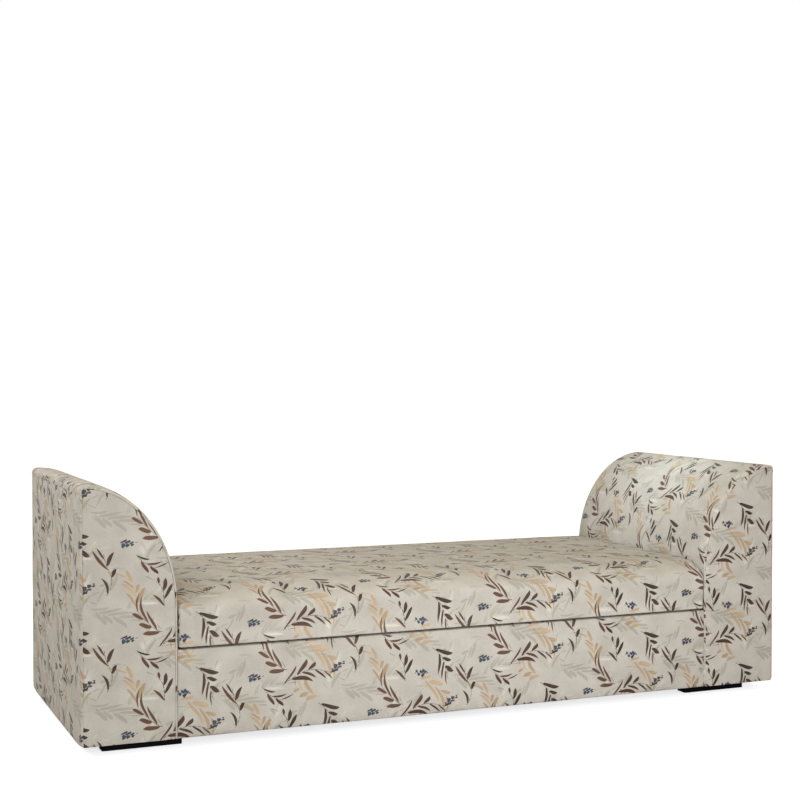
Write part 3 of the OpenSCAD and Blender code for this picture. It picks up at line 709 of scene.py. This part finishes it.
class DAYBED_OT_arm_covers(bpy.types.Operator):
    """Upholster both arms: round, outside, front and back panels"""
    bl_idname = "daybed.arm_covers"
    bl_label = "Arm covers"

    def round_panel(self, sizes):
        """The strip that covers the inside of the arm, its round and its outer top edge"""
        arch_z = TOP_Z - sizes.arch_height
        wide = INNER_X - END_X
        piece = plate("left_arm_round_panel",
                      strip_section(INNER_X, INNER_X - sizes.band, INNER_X - CLOTH, FRAME_Z))
        mark_rim(piece, INNER_X)
        # Bare cloth over the fixing rail, then the padded strip above it
        pad_step = 1 * MM
        extrude((0, 0, FIXING_Z - FRAME_Z))
        extrude((0, 0, pad_step))
        mesh = bmesh.from_edit_mesh(piece.data)
        for v in mesh.verts:
            if v.select and near(v.co.x, INNER_X - CLOTH):
                v.co.x = ROUND_PAD_X
        extrude((0, 0, arch_z - FIXING_Z - pad_step))
        turned = math.acos(sizes.corner_round / wide)
        bpy.ops.mesh.spin(steps=26, angle=turned, center=(END_X, 0, arch_z), axis=(0, 1, 0))
        mesh = bmesh.from_edit_mesh(piece.data)
        for v in mesh.verts:
            if v.co.z > arch_z + NEAR:
                depth = wide - math.hypot(v.co.x - END_X, v.co.z - arch_z)
                v.co.z = arch_z + (v.co.z - arch_z) * (sizes.arch_height - depth) / (wide - depth)
        # Over the outer top edge the pad thins out to the band
        extrude((-pad_step, 0, 0))
        mesh = bmesh.from_edit_mesh(piece.data)
        top = max(v.co.z for v in mesh.verts if v.select)
        for v in mesh.verts:
            if v.select and v.co.z < top - 2 * sizes.band:
                v.co.z = top - sizes.band - pad_step
        corner = (END_X + sizes.corner_round - pad_step, 0, top - sizes.corner_round)
        bpy.ops.mesh.spin(steps=5, angle=math.pi / 2, center=corner, axis=(0, 1, 0))
        extrude((0, 0, -sizes.band))
        outward()
        pick_rim(piece)
        bpy.ops.mesh.bevel(offset=sizes.inner_round, segments=4, affect="EDGES")
        cut(1, FACE_Y, -FACE_Y, sizes.cell)
        cut(2, FIXING_Z, arch_z, sizes.cell)
        mesh = bmesh.from_edit_mesh(piece.data)
        for v in mesh.verts:
            across, up = (v.co.x - END_X) / wide, (v.co.z - arch_z) / sizes.arch_height
            if up > 0 and abs(math.hypot(across, up) - 1) < 1e-3:
                full = (fullness(-FACE_Y - abs(v.co.y), sizes.swell_reach)
                        * fullness(v.co.z - arch_z, sizes.swell_reach)
                        * fullness(v.co.x - END_X - sizes.corner_round, sizes.swell_reach / 2))
                v.co += Vector((across, 0, up)).normalized() * sizes.round_swell * full
        bpy.ops.object.mode_set(mode="OBJECT")
        self.seam_z = top - sizes.corner_round - sizes.band
        return piece

    def outside_panel(self, sizes):
        """The upright panel on the outside of the arm"""
        piece = plate("left_arm_outside_panel",
                      strip_section(END_X, END_X + sizes.band, SIDE_PAD_X, UNDER_Z))
        mark_rim(piece, END_X)
        top = self.seam_z - SEAM_GAP
        extrude((0, 0, top - UNDER_Z))
        outward()
        pick_rim(piece)
        bpy.ops.mesh.bevel(offset=sizes.edge_round, segments=4, affect="EDGES")
        pick(piece, "EDGE", lambda e: near(middle(e).x, END_X) and near(middle(e).z, top))
        bpy.ops.mesh.bevel(offset=sizes.seam_round, segments=3, affect="EDGES")
        cut(1, FACE_Y, -FACE_Y, sizes.cell)
        cut(2, UNDER_Z, self.seam_z, sizes.cell)
        swell_face(piece, sizes, 0, END_X, lambda p: min(
            p.z - UNDER_Z, self.seam_z - p.z, p.y - FACE_Y, -FACE_Y - p.y))
        round_low_edge(piece, sizes)
        bpy.ops.object.mode_set(mode="OBJECT")
        return piece

    def facing(self, sizes):
        """The front panel, cut to the arm's outline and set between the bands"""
        arch_z = TOP_Z - sizes.arch_height
        gap = 0.2 * MM
        inset = sizes.band + gap
        wide, high = INNER_X - END_X - inset, sizes.arch_height - inset
        piece = begin("left_arm_front_panel", bpy.ops.mesh.primitive_circle_add, vertices=88, radius=wide,
                      fill_type="NGON", location=(0, 0, 0), rotation=(math.pi / 2, 0, 0))
        bpy.ops.mesh.select_all(action="SELECT")
        bpy.ops.object.mode_set(mode="OBJECT")
        bpy.ops.object.transform_apply(location=True, rotation=True, scale=True)
        bpy.ops.object.mode_set(mode="EDIT")
        mesh = bmesh.from_edit_mesh(piece.data)
        for v in mesh.verts:
            v.co = Vector((v.co.x + END_X, WALL_Y, arch_z + v.co.z * high / wide))
        bmesh.update_edit_mesh(piece.data)
        for place, normal in (((END_X + inset, 0, 0), (-1, 0, 0)), ((0, 0, arch_z), (0, 0, -1))):
            bpy.ops.mesh.select_all(action="SELECT")
            bpy.ops.mesh.bisect(plane_co=place, plane_no=normal, clear_outer=True)
        pick(piece, "EDGE", lambda e: near(e.verts[0].co.z, arch_z) and near(e.verts[1].co.z, arch_z))
        extrude((0, 0, UNDER_Z - arch_z))
        bpy.ops.mesh.select_mode(type="FACE")
        bpy.ops.mesh.select_all(action="SELECT")
        bpy.ops.mesh.dissolve_faces()
        corners = [(END_X + inset, TOP_Z - inset, sizes.corner_round - inset),
                   (INNER_X - inset, UNDER_Z, sizes.edge_round)]
        for x, z, radius in corners:
            pick(piece, "VERT", lambda v: math.hypot(v.co.x - x, v.co.z - z) < MM)
            bpy.ops.mesh.bevel(offset=radius, segments=4, affect="VERTICES")
        bpy.ops.mesh.select_mode(type="FACE")
        bpy.ops.mesh.select_all(action="SELECT")
        extrude((0, FACE_Y + sizes.seam_round - WALL_Y, 0))
        outward()
        pick(piece, "FACE", lambda f: near(f.calc_center_median().y, FACE_Y + sizes.seam_round))
        # The face rounds over from its seam
        for i in range(4):
            a, b = math.radians(22.5 * i), math.radians(22.5 * (i + 1))
            bpy.ops.mesh.inset(thickness=sizes.seam_round * (math.cos(a) - math.cos(b)),
                               depth=sizes.seam_round * (math.sin(b) - math.sin(a)))
        cut(0, END_X, INNER_X, sizes.cell)
        cut(2, UNDER_Z, TOP_Z, sizes.cell)

        def edge(point):
            across, up = point.x - END_X, max(point.z - arch_z, 0.0)
            arch = (1 - math.hypot(across / wide, up / high)) * wide
            return min(across - inset, point.z - UNDER_Z, arch)

        swell_face(piece, sizes, 1, FACE_Y, edge)
        round_low_edge(piece, sizes)
        bpy.ops.object.mode_set(mode="OBJECT")
        return piece

    def execute(self, context):
        sizes = context.scene.daybed_sizes
        arch_z = TOP_Z - sizes.arch_height
        wide, high = INNER_X - END_X, sizes.arch_height
        lengths = round_length(wide, high)

        def up_the_arm(point):
            across = -END_X - abs(point.x)
            past_top = across < wide / 20 and point.z < TOP_Z - sizes.corner_round / 2
            if past_top:
                return arch_z + lengths[90] + TOP_Z - point.z
            return arch_z + over_round(across, point.z - arch_z, wide, high, lengths)

        def inward(point):
            """How far round the edge and onto the front or back band a point of the round panel lies"""
            across, up = -END_X - abs(point.x), max(point.z - arch_z, 0)
            return math.copysign(wide * (1 - math.hypot(across / wide, up / high)), point.y)

        parts = {"round": self.round_panel(sizes)}
        parts["outside"] = self.outside_panel(sizes)
        parts["front"] = self.facing(sizes)
        parts["back"] = twin(parts["front"], "left_arm_back_panel", (1,))
        stands_for = {
            "round": ("round_cover", "round_foam"), "outside": ("side_cover", "side_foam"),
            "front": ("front_cover", "front_foam"), "back": ("back_cover", "back_foam"),
        }
        arms = {"left": parts}
        arms["right"] = {part: twin(piece, f"right_arm_{part}_panel", (0,))
                         for part, piece in parts.items()}
        for arm, pieces in arms.items():
            to_right = 1 if arm == "left" else -1
            lays = {
                "round": lambda p, n, s=to_right: (
                    s * (p.y + inward(p)) + CUT_X["round"], up_the_arm(p) + CUT_UP["round"]),
                "outside": lambda p, n, s=to_right: (
                    -s * (p.y + math.copysign(max(-END_X - abs(p.x), 0), p.y)) + CUT_X["outside"],
                    p.z + min(n.z, 0) * max(-END_X - abs(p.x), 0)),
                "front": lambda p, n: (p.x + CUT_X["front"], p.z),
                "back": lambda p, n: (-p.x + CUT_X["back"], p.z),
            }
            for part, piece in pieces.items():
                waves(piece)
                dress(piece, "frame", "fabric",
                      [f"{arm}_arm_{node}" for node in stands_for[part]], lays[part])
        return {"FINISHED"}


class DAYBED_OT_base_covers(bpy.types.Operator):
    """Upholster the base: front and back panels that turn over the deck, and the deck between them"""
    bl_idname = "daybed.base_covers"
    bl_label = "Base covers"

    def face_panel(self, sizes):
        """The front panel, whose lip turns over the front edge of the deck"""
        under = DECK_Z - CLOTH
        outline = [(FACE_Y, DECK_Z), (LIP_Y, DECK_Z), (LIP_Y, under), (WALL_Y, under), (WALL_Y, UNDER_Z),
                   (FACE_Y, UNDER_Z)]
        piece = plate("base_front_panel", [Vector((-BASE_END_X, y, z)) for y, z in outline])
        extrude((2 * BASE_END_X, 0, 0))
        outward()
        for height, radius, segments in ((DECK_Z, sizes.base_round, 5), (UNDER_Z, sizes.edge_round, 4)):
            pick(piece, "EDGE", lambda e: near(middle(e).y, FACE_Y) and near(middle(e).z, height))
            bpy.ops.mesh.bevel(offset=radius, segments=segments, affect="EDGES")

        def shows(face):
            on_deck = near(face.calc_center_median().z, DECK_Z)
            return face.normal.y < -0.01 or (face.normal.z > 0.5 and on_deck)

        pick(piece, "EDGE", lambda e: near(abs(middle(e).x), BASE_END_X) and any(map(shows, e.link_faces)))
        bpy.ops.mesh.bevel(offset=sizes.seam_round, segments=2, affect="EDGES")
        cut(0, -BASE_END_X, BASE_END_X, sizes.cell)
        cut(2, UNDER_Z, DECK_Z, sizes.cell)
        swell_face(piece, sizes, 1, FACE_Y, lambda p: min(
            p.z - UNDER_Z, DECK_Z - p.z, BASE_END_X - abs(p.x)))
        bpy.ops.object.mode_set(mode="OBJECT")
        return piece

    def deck_panel(self, sizes):
        """The plain lining between the lips, sewn to them, and the pad under it"""
        pad_low, pad_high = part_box("deck_pad")
        lip, wall = LIP_Y + SEAM_GAP, pad_low.y
        outline = [(lip, DECK_Z), (-lip, DECK_Z), (-lip, pad_high.z), (-wall, pad_high.z),
                   (-wall, pad_low.z), (wall, pad_low.z), (wall, pad_high.z), (lip, pad_high.z)]
        piece = plate("deck_panel", [Vector((-BASE_END_X, y, z)) for y, z in outline])
        extrude((2 * BASE_END_X, 0, 0))
        outward()
        pick(piece, "EDGE", lambda e: near(middle(e).z, DECK_Z) and near(abs(middle(e).y), -lip))
        bpy.ops.mesh.bevel(offset=CLOTH * 0.8, segments=2, affect="EDGES")
        cut(0, -BASE_END_X, BASE_END_X, 2 * sizes.cell)
        cut(1, lip, -lip, 2 * sizes.cell)
        bpy.ops.object.mode_set(mode="OBJECT")
        return piece

    def execute(self, context):
        sizes = context.scene.daybed_sizes
        front = self.face_panel(sizes)
        back = twin(front, "base_back_panel", (1,))
        for piece, way, side in ((front, 1, "front"), (back, -1, "back")):
            waves(piece)
            dress(piece, "frame", "fabric",
                  [f"base_{side}_cover", f"base_{side}_foam"],
                  lambda p, n, s=way: (s * p.x + CUT_X["base"], p.z + abs(-FACE_Y - abs(p.y))))
        deck = self.deck_panel(sizes)
        dress(deck, "frame", "lining", ["deck_lining", "deck_pad"])
        return {"FINISHED"}


class DAYBED_OT_dust_cover(bpy.types.Operator):
    """Stretch the black dust cover under the frame"""
    bl_idname = "daybed.dust_cover"
    bl_label = "Dust cover"

    def execute(self, context):
        low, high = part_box("dust_cover")
        piece = begin("dust_cover_cloth", bpy.ops.mesh.primitive_grid_add, x_subdivisions=48,
                      y_subdivisions=16, size=1.0, location=(0, 0, 0))
        mesh = bmesh.from_edit_mesh(piece.data)
        wide, deep = high.x - low.x, high.y - low.y
        # Between its staples the cloth puckers very slightly, in turns of a wave along it and across it
        pucker_high, turns_along, turns_across, thick = 0.15 * MM, 150, 70, 0.4 * MM
        for v in mesh.verts:
            pucker = pucker_high * math.sin(v.co.x * turns_along) * math.cos(v.co.y * turns_across)
            v.co = Vector((v.co.x * wide, v.co.y * deep, (low.z + high.z) / 2 + pucker))
        bmesh.update_edit_mesh(piece.data)
        bpy.ops.object.mode_set(mode="OBJECT")
        apply_modifier(piece, "Cloth", "SOLIDIFY", thickness=thick, offset=0.0)
        dress(piece, "frame", "dust", ["dust_cover"])
        return {"FINISHED"}


class DAYBED_OT_seat_cushion(bpy.types.Operator):
    """Make the loose seat cushion and let its filling press its cover out"""
    bl_idname = "daybed.seat_cushion"
    bl_label = "Seat cushion"

    def section(self, sizes, deep, high):
        """Half of the outline across the cushion, from underneath an edge to the top"""
        front, low, top = SEAT_LOW.y, SEAT_LOW.z, SEAT_HIGH.z - sizes.seat_crown
        seam = sizes.seat_lift / 2
        lift = low + sizes.seat_lift
        points = [(front + sizes.seat_under, low), (front + seam, lift),
                  (front + seam / 3, lift + seam / 3), (front, lift + seam)]
        steps = 11
        for i in range(steps + 1):
            a = math.pi / 2 * i / steps
            points.append((front + deep * (1 - math.cos(a)), top - high * (1 - math.sin(a))))
        return points

    def shell(self, sizes):
        """The cushion's outline drawn out along the base, with its ends rounded and its faces in cells"""
        front_half = self.section(sizes, sizes.seat_round_depth, sizes.seat_round)
        back_half = self.section(sizes, sizes.seat_back_round, sizes.seat_back_round)
        outline = front_half + [(-y, z) for y, z in reversed(back_half)]
        end = SEAT_HIGH.x
        piece = plate("seat_cushion_cover", [Vector((-end, y, z)) for y, z in outline])
        extrude((2 * end, 0, 0))
        outward()
        pick(piece, "EDGE", lambda e: near(e.verts[0].co.x, e.verts[1].co.x))
        bpy.ops.mesh.bevel(offset=sizes.seat_corner, segments=3, affect="EDGES")
        cut(0, -end, end, sizes.seat_cell)
        cut(1, SEAT_LOW.y + sizes.seat_round_depth, SEAT_HIGH.y - sizes.seat_back_round, sizes.seat_cell)
        cut(2, SEAT_LOW.z + 2 * sizes.seat_lift, SEAT_HIGH.z - sizes.seat_crown - sizes.seat_round,
            sizes.seat_cell)
        for place in (SEAT_LOW.y + sizes.seat_round_depth, SEAT_HIGH.y - sizes.seat_back_round):
            split(1, place)
        # More rows beside the end seams, where the cloth puckers
        for step in (1, 1.6, 2.2):
            for side in (-1, 1):
                split(0, side * (end - step * sizes.seat_corner))
        bpy.ops.object.mode_set(mode="OBJECT")
        return piece

    def puff(self, piece, sizes):
        """The filling presses the cover out. The zip and the seams hold it, and the base carries it."""
        rest = [v.co.copy() for v in piece.data.vertices]
        alone(piece)
        cloth = piece.modifiers.new("Filling", "CLOTH")
        cloth.settings.use_pressure = True
        cloth.settings.uniform_pressure_force = 4.0
        cloth.settings.effector_weights.gravity = 0.0
        scene = bpy.context.scene
        frames = 20
        scene.frame_end = frames
        for number in range(1, frames + 1):
            scene.frame_set(number)
        bpy.ops.object.modifier_apply(modifier=cloth.name)
        scene.frame_set(1)
        for v, start in zip(piece.data.vertices, rest):
            move = v.co - start
            if move.length > sizes.seat_puff:
                move *= sizes.seat_puff / move.length
            v.co = start + move * self.freedom(start, sizes)

    def freedom(self, point, sizes):
        """How freely the cover moves at a place, from 0 to 1"""
        reach = sizes.seat_cell
        from_end = SEAT_HIGH.x - sizes.seat_corner - abs(point.x)
        from_base = point.z - SEAT_LOW.z - 3 * sizes.seat_lift
        free = min(fullness(from_end, 3 * reach), fullness(from_base, 2 * reach))
        if point.y > 0:
            zip_low, zip_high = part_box("cushion_zip")
            from_zip = abs(point.z - (zip_low.z + zip_high.z) / 2) - (zip_high.z - zip_low.z)
            free = min(free, fullness(from_zip, reach))
        return free

    def execute(self, context):
        sizes = context.scene.daybed_sizes
        piece = self.shell(sizes)
        for v in piece.data.vertices:
            v.co = seat_form(v.co, sizes)
        self.puff(piece, sizes)
        # A low ridge beside each end seam, placed in corner radii, and puckers that die out from it
        ridge_at, ridge_wide = 1.4, 0.8
        pucker_high, pucker_size, pucker_reach = 0.5 * MM, 9 * MM, 22 * MM
        for v in piece.data.vertices:
            from_end = SEAT_HIGH.x - abs(v.co.x)
            beside = math.exp(-((from_end / sizes.seat_corner - ridge_at) / ridge_wide) ** 2)
            pucker = pucker_high * math.sin(v.co.y / pucker_size) * math.exp(-from_end / pucker_reach)
            if v.co.z > SEAT_LOW.z + sizes.seat_cell and from_end > sizes.seat_corner / 2:
                v.co += v.normal * (sizes.seat_ridge * beside + pucker)
        waves(piece)
        apply_modifier(piece, "Smooth", "SUBSURF", levels=1, render_levels=1)
        for v in piece.data.vertices:
            v.co.z = max(v.co.z, SEAT_LOW.z)
            v.co.x = max(-SEAT_HIGH.x, min(v.co.x, SEAT_HIGH.x))
        top = SEAT_HIGH.z - sizes.seat_crown

        def wrap(height, depth, deep, high, lengths):
            """Length of cloth from the base up the front or back to a place in the height and the depth"""
            return top - high + over_round(abs(depth) - (SEAT_HIGH.y - deep), height - (top - high),
                                           deep, high, lengths)

        front = (sizes.seat_round_depth, sizes.seat_round)
        back = (sizes.seat_back_round, sizes.seat_back_round)
        front += (round_length(*front),)
        back += (round_length(*back),)
        whole = wrap(top, 0, *front) + wrap(top, 0, *back)

        def lay(point, normal):
            steep = 0.75
            if abs(normal.x) > steep:
                return (-math.copysign(point.y, normal.x * point.y) + CUT_X["seat_end"], point.z)
            if normal.z < -steep:
                return (point.x + CUT_X["seat_under"], point.y)
            if point.y < 0:
                up = wrap(point.z, point.y, *front)
            else:
                up = whole - wrap(point.z, point.y, *back)
            return (point.x + CUT_X["seat"], up + CUT_UP["seat"])

        dress(piece, "seat_cushion", "fabric",
              ["cushion_cover", "cushion_wadding", "cushion_foam"], lay)
        return {"FINISHED"}


def seat_form(point, sizes):
    """The crown, the swell and the pull of the seat, for a point of its plain form."""
    # The higher the power, the flatter the crown and the nearer its edges it falls away
    end_power, front_power, back_power, top_power = 6, 3, 6, 4
    along = 1 - abs(point.x / SEAT_HIGH.x) ** end_power
    depth = 1 - abs(point.y / SEAT_HIGH.y) ** (front_power if point.y < 0 else back_power)
    plain_high = SEAT_HIGH.z - sizes.seat_crown
    share = max(0.0, min((point.z - SEAT_LOW.z) / (plain_high - SEAT_LOW.z), 1.0))
    reach = sizes.seat_round_depth if point.y < 0 else sizes.seat_back_round
    edge = max(0.0, (abs(point.y) - SEAT_HIGH.y + reach) / reach)
    # The tuck ends at two thirds of the height
    tuck = sizes.seat_tuck * max(0.0, 1 - share * 3 / 2)
    sideways = edge * (sizes.seat_swell * math.sin(math.pi * share) - sizes.seat_pull * along - tuck)
    crown = sizes.seat_crown * share ** top_power * along * depth
    return Vector((point.x, point.y + math.copysign(sideways, point.y), point.z + crown))


class DAYBED_OT_seat_zip(bpy.types.Operator):
    """Sew the zip into the back of the seat cushion: tape, teeth, slider and pull tab"""
    bl_idname = "daybed.seat_zip"
    bl_label = "Seat zip"

    def block(self, name, low, high):
        """A box between two corners, with its edges slightly rounded"""
        piece = begin(name, bpy.ops.mesh.primitive_cube_add, size=1.0)
        centre, size = (low + high) / 2, high - low
        mesh = bmesh.from_edit_mesh(piece.data)
        for v in mesh.verts:
            v.co = Vector([centre[i] + v.co[i] * size[i] for i in range(3)])
        bmesh.update_edit_mesh(piece.data)
        bpy.ops.mesh.select_all(action="SELECT")
        bpy.ops.mesh.bevel(offset=min(size) * 0.2, segments=2, affect="EDGES")
        return piece

    def execute(self, context):
        sizes = context.scene.daybed_sizes
        low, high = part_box("cushion_zip")
        face = SEAT_HIGH.y
        proud, deep = 0.3 * MM, 0.7 * MM
        middle_z = (low.z + high.z) / 2
        tape = self.block("seat_zip_tape", Vector((low.x, face - deep, low.z)),
                          Vector((high.x, face + proud, high.z)))
        cut(0, low.x, high.x, 2 * sizes.seat_cell)
        bpy.ops.object.mode_set(mode="OBJECT")
        # Moulded teeth in two rows that mesh: the pitch, half of a tooth, the bare ends and the rows' gap
        pitch, tooth, bare, apart = 2.5 * MM, Vector((0.8, 0.5, 1.3)) * MM, 4 * MM, 0.8 * MM
        first = Vector((low.x + bare, face + proud, middle_z + apart / 2))
        teeth = self.block("seat_zip_teeth", first - tooth, first + tooth)
        bpy.ops.mesh.select_all(action="SELECT")
        bpy.ops.mesh.duplicate_move(TRANSFORM_OT_translate={"value": (pitch / 2, 0, -apart)})
        bpy.ops.object.mode_set(mode="OBJECT")
        apply_modifier(teeth, "Row", "ARRAY", count=int((high.x - low.x - 2 * bare) / pitch),
                       use_relative_offset=False, use_constant_offset=True,
                       constant_offset_displace=(pitch, 0, 0))
        # The slider stands at the end of its run, with its tab lying along the tape
        slider_size, slider_in = Vector((9, 1.6, 6)) * MM, 12 * MM
        slider_low = Vector((high.x - slider_in, face + proud, middle_z - slider_size.z / 2))
        slider = self.block("seat_zip_slider", slider_low, slider_low + slider_size)
        bpy.ops.object.mode_set(mode="OBJECT")
        tab_size, tab_from_slider = Vector((19, 1.0, 4)) * MM, Vector((-17, 1.0, 1)) * MM
        tab_low = slider_low + tab_from_slider
        tab = self.block("seat_zip_tab", tab_low, tab_low + tab_size)
        bpy.ops.object.mode_set(mode="OBJECT")
        for piece, finish in ((tape, "tape"), (teeth, "nylon"), (slider, "steel"), (tab, "steel")):
            for v in piece.data.vertices:
                v.co.y += seat_form(Vector((v.co.x, face, v.co.z)), sizes).y - face
            dress(piece, "seat_cushion", finish, ["cushion_zip"] if piece is tape else [])
        return {"FINISHED"}


class DAYBED_OT_frame_finishes(bpy.types.Operator):
    """Give the frame's own pieces their timber, board, webbing, steel and lacquer"""
    bl_idname = "daybed.frame_finishes"
    bl_label = "Frame finishes"

    def execute(self, context):
        finishes = [
            ("foot_screws", "steel"), ("foot_rails", "pine_cross"), ("foot", "lacquer"),
            ("bolt", "steel"), ("tee_nuts", "steel"), ("webbing", "webbing"), ("side_board", "hardboard"),
            ("bent_board", "plywood"), ("profile", "plywood"), ("battens", "pine_cross"),
            ("fixing_rail", "pine_cross"), ("left_rail", "pine_cross"), ("right_rail", "pine_cross"),
            ("cross_rails", "pine_cross"), ("rail", "pine_long"), ("corner_blocks", "pine_cross"),
        ]
        for name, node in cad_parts.items():
            if node.hide_render:
                continue
            finish = next((material for part, material in finishes if part in name), None)
            if finish is None:
                raise RuntimeError(f"no finish for {name}")
            for slot in node.material_slots:
                slot.material = finish_of(finish)
        return {"FINISHED"}


class DAYBED_OT_stage(bpy.types.Operator):
    """Set the white floor, the lights and the camera"""
    bl_idname = "daybed.stage"
    bl_label = "Stage"

    def floor(self):
        bpy.ops.object.select_all(action="DESELECT")
        bpy.ops.mesh.primitive_plane_add(size=60)
        floor = bpy.context.object
        floor.name = "floor"
        material, tree = new_material("White studio floor")
        path = put(tree, "LightPath")
        bright = put(tree, "Emission", {"Color": (1, 1, 1, 1), "Strength": 0.73})
        shadowed = put(tree, "BsdfDiffuse", {"Color": (0.86, 0.88, 0.96, 1)})
        plain = put(tree, "BsdfDiffuse", {"Color": (0.5, 0.5, 0.5, 1)})
        both = put(tree, "AddShader", (bright, shadowed))
        seen = put(tree, "MixShader", (path.outputs["Is Camera Ray"], plain, both))
        put(tree, "OutputMaterial", (seen,))
        floor.data.materials.append(material)

    def sky(self, scene):
        world = bpy.data.worlds.new("Studio")
        world.use_nodes = True
        tree = world.node_tree
        tree.nodes.clear()
        path = put(tree, "LightPath")
        seen = put(tree, "Math", (path.outputs["Is Camera Ray"], path.outputs["Is Glossy Ray"]),
                   operation="MAXIMUM")
        shown = put(tree, "Math", (seen, path.outputs["Is Transmission Ray"]), operation="MAXIMUM")
        # A studio is brighter at its sides than overhead
        height = put(tree, "SeparateXYZ", (put(tree, "TexCoord").outputs["Generated"],)).outputs[2]
        sides, overhead = linear("#b3b4b6"), linear("#bcac7f")
        ambient = put(tree, "Mix", {0: height, 6: sides, 7: overhead}, data_type="RGBA")
        light = put(tree, "Mix", {0: shown, 6: ambient, 7: (1, 1, 1, 1)}, data_type="RGBA")
        put(tree, "OutputWorld", (put(tree, "Background", {"Color": light, "Strength": 1.0}),))
        scene.world = world

    def lamp(self, name, kind, place, target, power, **settings):
        """A lamp at a place that points at a target, both in metres, with its power in watts"""
        light = bpy.data.lights.new(name, kind)
        light.energy = power
        for key, value in settings.items():
            setattr(light, key, value)
        lamp = bpy.data.objects.new(name, light)
        lamp.location = place
        lamp.rotation_euler = (Vector(target) - Vector(place)).to_track_quat("-Z", "Y").to_euler()
        bpy.context.scene.collection.objects.link(lamp)

    def execute(self, context):
        scene = context.scene
        self.floor()
        self.sky(scene)
        self.lamp("front_softbox", "AREA", (0.1, -2.5, 0.76), (0.1, 0, 0.35), 35, shape="DISK", size=1.3)
        self.lamp("left_softbox", "AREA", (-2.9, -0.45, 2.75), (0.3, 0, 0.4), 60, shape="DISK", size=2.2)
        self.lamp("arm_spot", "SPOT", (-0.4, -0.1, 2.1), (1.02, 0, 0.78), 140, color=(0.84, 0.97, 1.0),
                  spot_size=math.radians(24), spot_blend=1.0, shadow_soft_size=0.25)
        # The camera stands where the corners of the photographed daybed put it
        camera = bpy.data.objects.new("camera", bpy.data.cameras.new("camera"))
        camera.location = (-1.82358, -4.28248, 1.03343)
        turned, tilted = 22.770, 1.3056
        camera.rotation_euler = (math.radians(90 - tilted), 0, -math.radians(turned))
        camera.data.lens = 66.637
        camera.data.sensor_width = 36
        scene.collection.objects.link(camera)
        scene.camera = camera
        scene.view_settings.view_transform = "Standard"
        return {"FINISHED"}


class DAYBED_PT_panel(bpy.types.Panel):
    """Lists the steps and the sizes of the daybed"""
    bl_idname = "DAYBED_PT_panel"
    bl_label = "Daybed"
    bl_space_type = "VIEW_3D"
    bl_region_type = "UI"
    bl_category = "Daybed"

    def draw(self, context):
        for operator in STEPS:
            self.layout.operator(operator.bl_idname)
        for group in (context.scene.daybed_sizes, context.scene.daybed_colours):
            box = self.layout.box()
            for name in group.__annotations__:
                box.prop(group, name)


STEPS = (DAYBED_OT_arm_covers, DAYBED_OT_base_covers, DAYBED_OT_dust_cover, DAYBED_OT_seat_cushion,
         DAYBED_OT_seat_zip, DAYBED_OT_frame_finishes, DAYBED_OT_stage)
CLASSES = (DaybedSizes, DaybedColours, *STEPS, DAYBED_PT_panel)


def register():
    for cls in CLASSES:
        bpy.utils.register_class(cls)
    bpy.types.Scene.daybed_sizes = bpy.props.PointerProperty(type=DaybedSizes)
    bpy.types.Scene.daybed_colours = bpy.props.PointerProperty(type=DaybedColours)


def unregister():
    del bpy.types.Scene.daybed_colours
    del bpy.types.Scene.daybed_sizes
    for cls in reversed(CLASSES):
        bpy.utils.unregister_class(cls)


def main():
    register()
    for step in STEPS:
        group, name = step.bl_idname.split(".")
        getattr(getattr(bpy.ops, group), name)()


if __name__ == "__main__":
    main()
